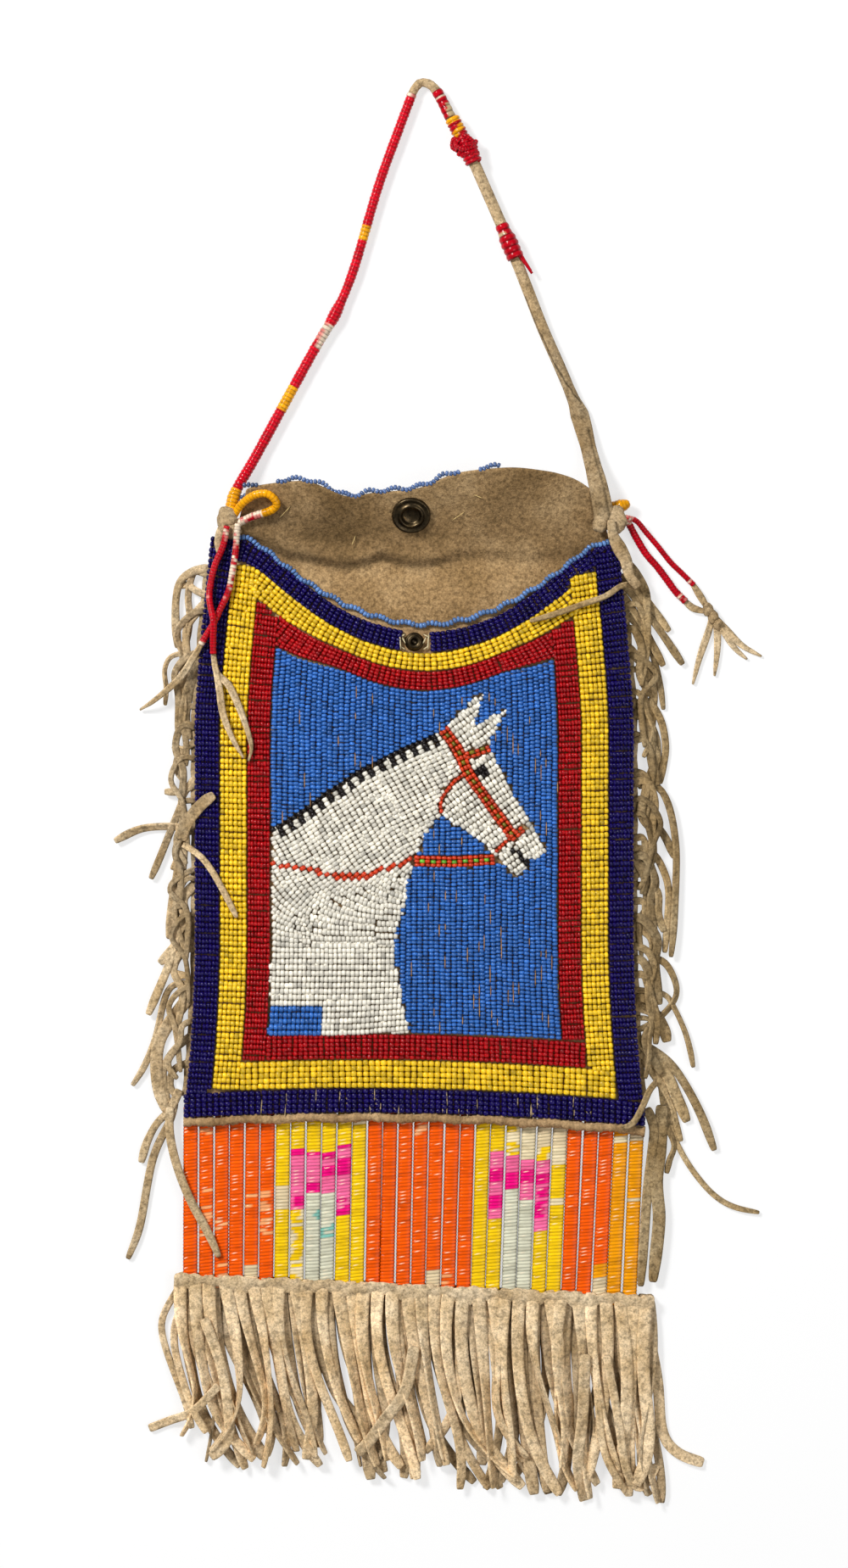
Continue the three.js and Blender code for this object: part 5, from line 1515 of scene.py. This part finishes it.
# colours down a slat: each name holds from this depth below the welt, in mm
orangeSlat = [(0, "orange")]
slatBands = {
    2: [(0, "orange"), (1.6, "worn"), (5, "orange"), (21.5, "worn"), (41, "orange")],
    3: [(0, "orange"), (31, "worn"), (36, "orange"), (46.5, "worn")],
    5: [(0, "orange"), (23, "worn"), (27.5, "orange"), (46.4, "bare")],
    6: [(0, "orange"), (20, "worn"), (38.5, "orange")],
    7: [(0, "yellow"), (20, "bare"), (28.2, "yellow")],
    8: [(0, "yellow"), (8.6, "magenta"), (10.8, "pink"), (23.4, "streaked"), (27, "pink"), (28.6, "straw")],
    9: [(0, "yellow"), (8.8, "magenta"), (11, "pink"), (20, "magenta"), (22.6, "sage"), (28.4, "mint"),
        (31.4, "sage")],
    10: [(0, "yellow"), (9.4, "magenta"), (11.6, "pink"), (14.2, "magenta"), (16.7, "pink"), (22.6, "sage"),
         (33, "mint"), (37.4, "sage")],
    11: [(0, "yellow"), (7.2, "magenta"), (8.2, "pink"), (11.4, "magenta"), (17.2, "pink"),
         (22.6, "streaked"), (28.4, "magenta"), (30.4, "yellow")],
    12: [(0, "cream"), (0.6, "yellow")], 16: [(0, "worn"), (4, "orange")],
    17: [(0, "orange"), (48.3, "bare")], 18: [(0, "orange"), (49.2, "worn")], 20: [(0, "yellow")],
    21: [(0, "yellow"), (9.1, "pink"), (14.2, "magenta"), (19.5, "pink"), (23.1, "magenta"), (28.4, "pink"),
         (31.8, "yellow")],
    22: [(0, "straw"), (10.5, "pink"), (16.1, "magenta"), (21.7, "sage")],
    23: [(0, "cream"), (12.2, "pink"), (14.7, "magenta"), (19.5, "pink"), (25.1, "sage")],
    24: [(0, "bare"), (7.2, "straw"), (11.6, "pink"), (16.7, "magenta"), (20.3, "streaked"),
         (35.2, "yellow")],
    25: [(0, "bare"), (8, "cream"), (13.6, "yellow"), (25, "cream"), (26.5, "yellow")],
    28: [(0, "orange"), (46.4, "golden"), (50.3, "bare")],
    29: [(0, "golden"), (3.8, "cream"), (6.6, "golden")],
    30: [(0, "bare"), (5.5, "golden"), (24.5, "bare"), (26.2, "golden")],
}


def slatAngle(side):  # two of the faces lie underneath
    under = 4 / slats["sides"]
    return math.pi * (side + 1 - under) / (2 - under if side > under - 1 else under)


for i in range(slats["count"]):
    x = (i + 0.5) * slats["pitch"] - pouch["hemHalf"]
    shift = -slats["lean"] * i / (slats["count"] - 1)
    top, foot = hem(x) + slats["tuck"], band(x + shift) - slats["tuck"]
    bands = slatBands.get(i + 1, orangeSlat)
    turns = round((top - foot) / slats["wrap"])
    half, thickHalf = slats["width"] / 2, slats["thick"] / 2
    middleZ = pouch["slatZ"] + thickHalf
    skew = [slats["skew"] * (scatter(i, kind) - 0.5) for kind in (51, 52)]
    full = slats["fullness"][0] + slats["fullness"][1] * scatter(i, 54)
    glintMiddle, glintSpread, glintReach = slats["rub"]
    glintLine = glintMiddle + glintSpread * (scatter(i, 62) - 0.5)

    def slatPlace(side, share):
        turn = share * turns
        ridge = 1 - slats["ridge"] * abs(math.cos(math.pi * turn)) ** 2
        edge = ridge * (1 + slats["uneven"] * (scatter(int(turn), i + 11) - 0.5))
        angle = slatAngle(side)
        cx, sx = math.cos(angle), math.sin(angle)
        wide = full * half * math.copysign(abs(cx) ** 0.85, cx) * lerp(1, edge, 0.3)
        tall = thickHalf * math.copysign(abs(sx) ** 0.9, sx) * edge
        slant = slats["slant"] * cx * (scatter(i, 53) + 0.4)
        across = x + shift * share + lerp(*skew, share) + wide
        return Vector((across, lerp(top, foot, share) + slant, middleZ + tall))

    def slatDye(side, share):
        angle = slatAngle(side)
        turn = min(turns - 1, int(share * turns + 0.01))
        depth = slats["weltLine"] - lerp(top, foot, (turn + 0.5) / turns)
        name = [n for start, n in bands if depth >= start or start == 0][-1]
        if name in slats["mixed"]:
            across = abs(math.cos(angle) - 1.4 * (scatter(turn, i + 31) - 0.5))
            name = slats["mixed"][name][scatter(turn, i + 30) < 0.6 and across < 0.75]
        # painted shade in the groove between turns
        groove = slats["grooveTone"] if abs(share * turns - round(share * turns)) < 0.01 else 1
        within = share * turns - turn
        # painted highlights: pale ticks on the ridges of some turns, in a line down the slat
        shine = (0.25 + 0.4 * scatter(i, 61)) * (0.5 + 0.5 * math.sin(turn * slats["tickRun"] + 1.7 * i))
        onRidge = 0.4 < within < 0.6 and abs(math.cos(angle) - glintLine) < glintReach and angle > 0
        if onRidge and scatter(turn, i + 70) < shine:
            return slats["glint"]
        # painted shade along the slat's two edges
        outer = abs(math.cos(angle))
        atEdge = next((tone for past, tone in slats["edges"] if outer > past), 1)
        return shade(slats[name], groove * atEdge * (0.9 + 0.26 * scatter(turn, i + 40)))

    work = newWork()
    addGrid(work, slats["sides"], turns * slats["rowsPerWrap"], slatPlace, dye=slatDye)
    closeTubes(work)
    slot = "yellow_quill" if bands[0][1] in slats["yellowish"] else "orange_quill"
    finishPiece(f"quillSlat{i + 1:02d}", work, quill, slot, [f"slat_{i + 1:02d}"])
print("slats ready")

# welt under the hem
welt = {"half": 1.55, "below": 1.25, "uneven": 0.2, "end": 76.2}
weltZ = slatTop + clearance + welt["half"]
weltRoute = smoothRoute([(x, hem(x) - welt["below"] + 0.3 * math.sin(x * 0.31), weltZ)
                         for x in np.linspace(-welt["end"], welt["end"], 48)], 200)


def weltHalf(share):
    uneven = math.sin(share * 190) * math.sin(share * 71) + 0.5 * math.sin(share * 613)
    return welt["half"] * (1 + welt["uneven"] * uneven)


work = newWork()
addTube(work, weltRoute, 300, 10, weltHalf)
closeTubes(work)
hemWelt = finishPiece("hemWelt", work, tanSuede, "hide", ["bottom_welt"])

# lower band and its fringe
fringe = {
    "overhang": 3, "width": 4.1,
    "lengths": (58, 64), "lengthSpread": 13, "leans": (14, 2), "leanSpread": 11, "leanPower": 1.6,
    "sway": 5, "hook": 34, "hookFrom": 0.62, "twist": 2.6,
    "thick": 0.9, "cut": 3, "rootAbove": 3.4, "crowd": 1.6,
    # layers: count, seed, height at which the thongs lie, how much higher every second one lies, and tone, which is
    # painted light: lighter for the top layer, darker for the deeper ones
    "layers": {"front": (34, 1, 3.4, 0.8, 1.22), "middle": (30, 31, 1.9, 0.5, 0.9),
               "back": (27, 6, 0.7, 0.3, 0.74)},
}
bandHalf = pouch["hemHalf"] + fringe["overhang"]
# single thongs across the fringe: from the left end, the middle or the right end, then the width,
# then points inward and down
strays = [
    (-1, 2.4, [(2.5, 3), (-4, 15), (-3.5, 23), (0, 33), (4, 43), (6, 51)]),
    (-1, 2.6, [(4, 8), (0.5, 16), (0, 24), (2.5, 34), (6.5, 45), (11, 52)]),
    (-1, 3, [(15, 36), (6.5, 45), (-1.5, 49), (-8.5, 52)]),
    (-1, 3.6, [(10, 14), (16, 31), (18.5, 51), (16, 57), (12, 60)]),
    (0, 4.2, [(0, 20), (-3, 35), (-9.5, 44.5), (-15.5, 53), (-19, 56.5)]),
    (1, 3.8, [(3, 8), (-1, 28), (-2.5, 45), (-7.5, 52), (-16.5, 55)]),
    (1, 4, [(23, 20), (24, 42), (25.5, 56), (23, 69.5)]),
    (1, 3, [(16, 20), (12, 42), (9.5, 58), (4.5, 65), (-1, 56)]),
    (1, 2.6, [(19, 34), (17, 51), (13, 60), (8.5, 66.5)]),
]


def addFringe(bm, layer, topZ):
    count, seed, lie, step, dim = fringe["layers"][layer]
    topWidth = 2 * bandHalf / count
    for i in range(count):
        share = i / (count - 1)
        x0 = lerp(-1, 1, (i + 0.5) / count) * bandHalf

        def stray(kind, spread):
            return (scatter(i, seed + kind) - 0.5) * spread

        length = lerp(*fringe["lengths"], share) + stray(0, fringe["lengthSpread"])
        leanBy = lerp(*fringe["leans"], share) + stray(1, fringe["leanSpread"])
        sway = stray(2, fringe["sway"])
        hook = stray(3, fringe["hook"]) * smooth(abs(stray(4, 2.4)))
        top = band(x0) - fringe["cut"] + fringe["rootAbove"]
        points = []
        for t in np.linspace(0, 1, 15):
            bent = sway * math.sin(1.5 * math.pi * t) + hook * max(0, t - fringe["hookFrom"]) ** 2 * 7
            wave = 0.5 * math.sin(5 * t + i) * smooth(t / 0.3)
            lying = lerp(topZ, lie + step * (i % 2), smooth(t / 0.4))
            z = lying + wave - fringe["thick"] * (1 - smooth(t / 0.09))
            points.append((x0 + leanBy * t ** fringe["leanPower"] + bent, lerp(top, band(x0) - length, t),
                           max(z, thongs["leastZ"])))
        twist = stray(5, fringe["twist"])
        turnAt = 0.3 + 0.3 * scatter(i, seed + 11)
        warm = scatter(i, seed + 7)
        # painted shade: the deeper layers are darker, the top one lighter
        tone = shade((1, lerp(0.97, 1, warm), lerp(0.93, 1, warm)),
                     dim * (0.86 + 0.24 * scatter(i, seed + 8)))
        lowWidth = fringe["width"] * (0.8 + 0.35 * scatter(i, seed + 9))
        addThong(bm, smoothRoute(points, 28), 14,
                 lambda s: lerp(topWidth, lowWidth, smooth(s / 0.3)) * (1 - 0.3 * smooth((s - 0.95) / 0.05)),
                 tone, lambda s: twist * smooth((s - 0.12) / turnAt), 0.2 * (scatter(i, seed + 6) - 0.3),
                 fringe["crowd"])


def addBand(bm, z):
    def place(side, share):
        x = side * bandHalf
        ragged = 0.5 * math.sin(x * 0.4) + 0.35 * math.sin(x * 1.3 + 1) + 0.25 * math.sin(x * 2.9)
        low = fringe["cut"] + 1.5 + 1.2 * math.sin(x * 0.33 + 2) + 0.8 * math.sin(x * 1.1)
        dip = fringe["thick"] * smooth((share - 0.45) / 0.55)
        return Vector((x, band(x) + ragged * (1 - share) - share * low, max(thongs["leastZ"], z - dip)))

    addGrid(bm, 120, 5, place)


frontLevel, middleLevel, backLevel = pouch["seamZ"] + hide / 2, pouch["seamZ"] - hide, hide / 2
work = newWork()
addBand(work, frontLevel)
addFringe(work, "front", frontLevel - 0.1)
addFringe(work, "middle", middleLevel)
for end, width, points in strays:
    inward = -end if end else 1
    x0 = end * bandHalf
    route = []
    for a, b in points:
        carried = min(clamp((a + 1) / 9) if end else 1, clamp((68 - b) / 8))
        route.append((x0 + inward * a, band(x0 + inward * a) - b, lerp(1, 5.2, carried)))
    tone = shade((1, 0.98, 0.95), 0.9 + 0.2 * scatter(int(width * 10), 3))
    addThong(work, smoothRoute(route, 24), 16, width, tone, 0.15, 0.25)
frontFringe = finishPiece("frontFringe", work, paleSuede, "hide", ["bottom_fringe_front"])
thicken(frontFringe, fringe["thick"], 0)
work = newWork()
addBand(work, backLevel)
addFringe(work, "back", backLevel)
backFringe = finishPiece("backFringe", work, paleSuede, "hide", ["bottom_fringe_back"])
thicken(backFringe, fringe["thick"], 0)

# side fringes: width, whether a thong lies over the front, then points out from the side edge and along it
sideThongs = {
    "thick": 1.0, "lie": (0.7, 2.2), "atEdge": 2.7, "seamTone": (0.7, 0.68, 0.64),
    "leftTangle": 15, "rightTangle": 24, "tangleRise": 2.6, "tangleDim": 0.85, "tangleEnds": (30, 182),
    "leftDim": (0.9, 0.88, 0.84), "rightDim": (0.66, 0.62, 0.52),
    "leftUpper": [
        (3.2, 0, [(-0.5, 9.5), (4.5, 10.5), (8.5, 13.5), (9.4, 19), (8.8, 27), (7.2, 36)]),
        (2.6, 0, [(-0.5, 18.5), (3, 17), (6, 15), (8.6, 15.5)]),
        (3.2, 0, [(-0.5, 21), (4.5, 28), (4.5, 35), (3, 43.5), (5, 51.5)]),
        (4.2, 0, [(-0.5, 36.5), (2, 47.5), (3.5, 58.5), (2, 66.5)]),
        (2.6, 0, [(-0.5, 67), (4.5, 70.5), (6, 75.5), (3, 80.5)]),
        (2.6, 0, [(-0.5, 81), (4.5, 83.5), (10, 83.5)]),
        (2.4, 0, [(0, 79), (4.5, 86.5), (3.5, 92.5), (5, 103.5), (7.5, 109.5)]),
        (3, 0, [(-0.5, 96), (8, 95), (16.5, 95.5), (22, 97.5), (26.5, 100)]),
        (2.6, 0, [(4, 87), (8.5, 98), (11.5, 105.5), (14.5, 112.5)]),
        (1.8, 0, [(5, 37.5), (9.5, 39), (11, 43.5), (10, 49), (10, 55)]),
        (3, 0, [(2, 70), (5, 69.5), (7, 68)]),
    ],
    "leftLower": [
        (4.4, 0, [(4, 96), (4.5, 82.5), (6.5, 71), (8, 57.5)]),
        (4, 1, [(4.5, 90.5), (2.5, 95.5), (-0.5, 100), (-4, 103.5), (-7, 105.5)]),
        (2.2, 1, [(4.5, 89.5), (0, 87), (-4, 83.5), (-8.5, 76.5), (-14.5, 65)]),
        (3.2, 0, [(-0.5, 64.5), (4.5, 61.5), (6.5, 55.5), (8.5, 48.5), (11.5, 40.5), (14.5, 32.5)]),
        (3.6, 0, [(-0.5, 76), (4, 71), (3, 65.5), (5, 57), (11.5, 49.5)]),
        (2.4, 0, [(-0.5, 43), (6, 43), (8.5, 40.5), (10, 34.5), (11.5, 25), (14.5, 15.5), (18, 9)]),
        (4.4, 0, [(-0.5, 42), (3, 36), (7, 30.5), (10.5, 23.5), (10.5, 15), (8.5, 6.5), (5.5, 0.5)]),
        (2.8, 0, [(-0.5, 26), (5.5, 20.5), (8, 15), (7, 8), (5, 2.5)]),
        (3.2, 0, [(2, 8), (4.5, 1), (8.5, -3), (12, -9.5), (14, -16.5)]),
        (2.8, 0, [(3, 4), (4.5, -3), (7, -7.5), (10, -14.5), (12, -24), (14.5, -38), (18.5, -48.5)]),
        (3, 1, [(4.5, 2.5), (4.5, -6), (2, -17), (-2.5, -28.5), (-8.5, -39.5), (-12, -47.5)]),
        (3, 0, [(-0.5, 57), (5.5, 51.5), (6.5, 46.5), (1.5, 45.5)]),
        (2.6, 0, [(-0.5, 17), (4.5, 14.5), (5.5, 9.5), (3.5, 6)]),
    ],
    "rightUpper": [
        (2.8, 0, [(-0.5, 12), (4.5, 16), (9, 22.5), (14, 30.5)]),
        (2, 1, [(4.5, 15), (-1, 15.5), (-6, 19), (-13.5, 21.5), (-23.5, 25), (-32.5, 27.5)]),
        (3, 0, [(-0.5, 13), (5, 21.5), (11, 30.5), (17.5, 41.5)]),
        (2.2, 0, [(-0.5, 24), (6, 32), (8.5, 42), (9.5, 49), (10, 56.5)]),
        (3.4, 0, [(-0.5, 35.5), (5.5, 43.5), (7, 50.5), (6, 57.5), (5.5, 65.5)]),
        (3.4, 0, [(-0.5, 53), (4.5, 60), (7.5, 68.5), (5.5, 78.5), (1, 82)]),
        (2.6, 0, [(-0.5, 81), (7.5, 81), (11.5, 88), (13.5, 98), (14, 107.5), (13, 130), (12, 138.5)]),
        (3, 0, [(-0.5, 86.5), (4.5, 91), (10, 98), (13.5, 105.5)]),
        (2.8, 0, [(5, 52.5), (9, 60), (10.5, 68.5), (9.5, 75.5), (8.5, 81)]),
        (3, 0, [(-0.5, 18.5), (5, 28), (8, 35), (11, 42)]),
    ],
    "rightLower": [
        (2.6, 0, [(-0.5, 88), (6, 86.5), (9.5, 81), (11.5, 74), (11, 62.5), (10, 53)]),
        (4, 0, [(-0.5, 86.5), (4, 78), (4.5, 68.5), (2.5, 60.5)]),
        (3, 0, [(-0.5, 75.5), (7.5, 74), (8, 65.5), (10, 60)]),
        (3.4, 0, [(-0.5, 62.5), (5.5, 58.5), (6, 51.5), (4.5, 41.5)]),
        (2.6, 0, [(6, 51.5), (10, 50), (13, 44.5), (13.5, 39), (9.5, 33.5), (3.5, 29), (-0.5, 27.5)]),
        (2.2, 0, [(-0.5, 41), (9.5, 39.5), (12, 36), (15.5, 27.5), (17, 20.5), (17.5, 15)]),
        (4.2, 0, [(-0.5, 36), (5.5, 33.5), (8.5, 28.5), (9.5, 23.5)]),
        (4, 0, [(-0.5, 25), (4, 19.5), (6.5, 12.5), (7, 4), (8, -4.5)]),
        (3.2, 0, [(-0.5, 24), (8.5, 18), (13.5, 11), (18.5, -0.5), (23, -12.5)]),
        (4, 0, [(0.5, 20.5), (8, 13.5), (11, 5.5), (14, -3)]),
        (2.2, 1, [(5, 10.5), (2, 8), (-1, 2.5), (-4.5, -3), (-8.5, -4.5)]),
        (4.4, 0, [(5.8, 3), (4.9, -12.3), (3.6, -21.3), (4, -28), (4.6, -35.5), (2.4, -56)]),
        (3.4, 0, [(0.5, 2), (3, -4), (2.6, -9), (1.7, -16.8), (0.6, -26), (-1.6, -57.4)]),
        (2, 0, [(8, -3), (10.5, -10), (15, -18), (22, -26.5), (29, -31), (38, -33)]),
        (2.4, 0, [(1, 18), (8.5, 4), (10.5, -4.5), (12, -9.5)]),
        (2.4, 0, [(5, -0.5), (9.5, -10), (8, -15.5), (7, -20)]),
    ],
}


def overZ(x, y, clear):
    under = frontZ(x, y) + beadRise if y > hem(x) - 4.8 else slatTop
    return lerp(under + 2 * clearance + hide / 2, 1.5, smooth((clear - 1) / 3))


def addSideFringe(bm, hand, rows, alongToY, seed, dim, rise=0.0):
    for i, (width, over, route) in enumerate(rows):
        lie = lerp(*sideThongs["lie"], scatter(i, seed))
        lift = rise * scatter(i, seed + 5)
        points = []
        for out, along in route:
            y = alongToY(along)
            x = sideHalf(y) + out
            outward = smooth((out - width / 2 - 1.5) / 3)
            beside = lerp(sideThongs["atEdge"], lie, outward) + lift * smooth(out / 2)
            points.append((hand * x, y, overZ(hand * x, y, out - width / 2) if over else beside))
        tone = shade(dim, 0.72 + 0.4 * scatter(i, seed + 2))
        twist = (scatter(i, seed + 3) - 0.5) * (0.3 if over else 1.6)
        addThong(bm, smoothRoute(points, 22), 15, lambda s: width * (1 - 0.3 * smooth((s - 0.85) / 0.15)),
                 tone, lambda s: twist * math.sin(math.pi * s), 0.2)


def tangled(count, seed):  # short thongs close along the edge, as points out from it and up from the hem
    rows = []
    for i in range(count):
        a, b, c, d, e = (scatter(i, seed + kind) for kind in range(5))
        up = lerp(*sideThongs["tangleEnds"], (i + 0.8 * a) / count)
        rows.append((1.8 + 1.5 * b, 0, [(-0.5, up), (2 + 3 * c, up - 2 + 4 * a), (3 + 6 * d, up - 7),
                                        (1.5 + 6 * e, up - 14), (1 + 7 * b, up - 19 - 12 * d)]))
    return rows


def addSeam(bm, hand):
    def place(side, share):
        y = lerp(hemLine + 5.5, pouch["bendLine"] - hide, share)
        out = lerp(-4.5, 1.2 + 0.5 * math.sin(y * 0.7), (side + 1) / 2)
        return Vector((hand * (sideHalf(y) + out), y, 2))

    addGrid(bm, 4, 48, place, sideThongs["seamTone"])


sidePieces = []
for hand, label in ((-1, "left"), (1, "right")):
    work = newWork()
    addSeam(work, hand)
    dim = sideThongs[label + "Dim"]
    addSideFringe(work, hand, sideThongs[label + "Upper"], lambda along: shoulderLine - along, 3 + hand, dim)
    addSideFringe(work, hand, sideThongs[label + "Lower"], lambda along: hemLine + along, 13 + hand, dim)
    addSideFringe(work, hand, tangled(sideThongs[label + "Tangle"], 60 + hand), lambda along: hemLine + along,
                  23 + hand, shade(dim, sideThongs["tangleDim"]), sideThongs["tangleRise"])
    made = finishPiece(label + "SideFringe", work, paleSuede, "hide", [label + "_side_fringe"])
    thicken(made, sideThongs["thick"], 0)
    sidePieces.append(made)
print("fringes ready")

# press snap: socket inside the flap, stud on the front; profiles are radius and height
snap = {
    "x": -1, "y": 104.5, "faces": 40,
    "socket": [(0, 0.6), (2.6, 0.6), (3.0, 1.1), (3.3, 1.9), (3.7, 2.2), (4.1, 1.9), (4.4, 1.4), (5.0, 1.3),
               (5.5, 1.7), (6.0, 1.8), (6.4, 1.4), (6.4, 0.5), (0, 0.5)],
    "cap": [(0, -0.6), (4.8, -0.6), (4.9, -0.9), (4.4, -1.3), (2.5, -1.6), (0, -1.7)],
    "stud": [(1.0, 0), (2.9, 0), (3.1, 0.3), (2.7, 0.6), (2.1, 0.8), (1.9, 1.5), (2.4, 2.1), (2.2, 2.5),
             (1.6, 2.6), (1.1, 2.3), (0.9, 1.2), (0, 1.0)],
    "eyelet": [(0, -1.3), (3.8, -1.3), (4.0, -1.6), (3.6, -2.0), (0, -2.1)],
}
brass, nodes, link, shader = newFinish("tarnishedBrass", 0.32, Metallic=1.0)
coords = placeOf(nodes)
tarnish = rampOf(nodes, link, noiseOf(nodes, link, coords, 420.0, 4.0, 0.7),
                 [(0.35, paint(52, 44, 34)), (0.6, paint(92, 78, 56)), (0.8, paint(150, 122, 78))])
link(tarnish, shader.inputs["Base Color"])
roughness = nodes.new("ShaderNodeMapRange")
roughness.inputs["To Min"].default_value = 0.22
roughness.inputs["To Max"].default_value = 0.5
link(noiseOf(nodes, link, coords, 900.0), roughness.inputs["Value"])
link(roughness.outputs["Result"], shader.inputs["Roughness"])

tilt = math.atan(pouch["flapSlope"])
socketSpot = (snap["x"], snap["y"], backZ(snap["x"], snap["y"]) - 0.5)
seat = Matrix.Translation(socketSpot) @ Matrix.Rotation(tilt, 4, "X")
studSeat = Matrix.Translation((studX, studY, frontZ(studX, studY)))
for part, place in (("socket", seat), ("cap", seat), ("stud", studSeat), ("eyelet", studSeat)):
    work = spun([(r, 0, z) for r, z in snap[part]], (0, 0, 1), snap["faces"])
    bmesh.ops.remove_doubles(work, verts=work.verts, dist=1e-4)
    bmesh.ops.recalc_face_normals(work, faces=work.faces)
    work.transform(place)
    finishPiece("snap" + part.capitalize(), work, brass, "snap_metal", ["snap_" + part])

# the hides as declared sheets, with what is sewn to them
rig.sheet(frontHide, flat=(0.153, 0.193), held="laid", rests_on=["back_panel"], area=0.0262,
         with_pieces=[hemWelt])
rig.sheet(backHide, flat=(0.153, 0.215), held="laid", rests_on=[],
         area=0.031, with_pieces=sidePieces + [frontFringe, backFringe] + cornerKnots)

# floor, light and world: lamps are power, size and place
studio = {"sky": 0.24, "floorWhite": 0.62, "glow": 1.06, "floorHalf": 8, "floorZ": -0.0003, "paper": 0.96,
          "lamps": {"key": (21.5, 0.35, (-0.8, 0.75, 1.1)), "fill": (5.5, 0.9, (0.8, -0.3, 1.2))}}
bm = bmesh.new()
bmesh.ops.create_grid(bm, x_segments=1, y_segments=1, size=studio["floorHalf"])
bmesh.ops.translate(bm, verts=bm.verts, vec=(0, 0, studio["floorZ"]))
floorMesh = meshOf("floor", bm)
floor = bpy.data.objects.new("floor", floorMesh)
scene.collection.objects.link(floor)
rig.stage(floor)
paper = bpy.data.materials.new("paleFloor")
paper.use_nodes = True
nodes, link = paper.node_tree.nodes, paper.node_tree.links.new
nodes.remove(nodes["Principled BSDF"])
matt = nodes.new("ShaderNodeBsdfDiffuse")
matt.inputs["Color"].default_value = (*(studio["paper"],) * 3, 1)
glow = nodes.new("ShaderNodeEmission")
glow.inputs["Strength"].default_value = studio["glow"]
rays = nodes.new("ShaderNodeLightPath").outputs
seen = rays["Is Camera Ray"]
for kind in ("Is Glossy Ray", "Is Transmission Ray"):
    either = nodes.new("ShaderNodeMath")
    either.operation = "MAXIMUM"
    link(seen, either.inputs[0])
    link(rays[kind], either.inputs[1])
    seen = either.outputs[0]
share = nodes.new("ShaderNodeMath")  # the floor glows by this share where it is seen
share.operation = "MULTIPLY"
share.inputs[1].default_value = studio["floorWhite"]
link(seen, share.inputs[0])
mixShader = nodes.new("ShaderNodeMixShader")
link(share.outputs[0], mixShader.inputs["Fac"])
link(matt.outputs[0], mixShader.inputs[1])
link(glow.outputs[0], mixShader.inputs[2])
link(mixShader.outputs[0], nodes["Material Output"].inputs["Surface"])
floorMesh.materials.append(paper)

world = bpy.data.worlds.new("studioWorld")
world.use_nodes = True
world.node_tree.nodes["Background"].inputs["Color"].default_value = (1, 1, 1, 1)
world.node_tree.nodes["Background"].inputs["Strength"].default_value = studio["sky"]
scene.world = world
for name, (power, size, spot) in studio["lamps"].items():
    lamp = bpy.data.lights.new(name, "AREA")
    lamp.energy = power
    lamp.size = size
    stand = bpy.data.objects.new(name, lamp)
    stand.location = spot
    stand.rotation_euler = (-Vector(spot)).to_track_quat("-Z", "Y").to_euler()
    scene.collection.objects.link(stand)
print("studio ready")

bpy.context.view_layer.update()
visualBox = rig.bounds()
with open("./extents.json", "w") as out:
    json.dump({"cad": [list(p) for p in cadBox], "visual": [list(p) for p in visualBox]}, out)
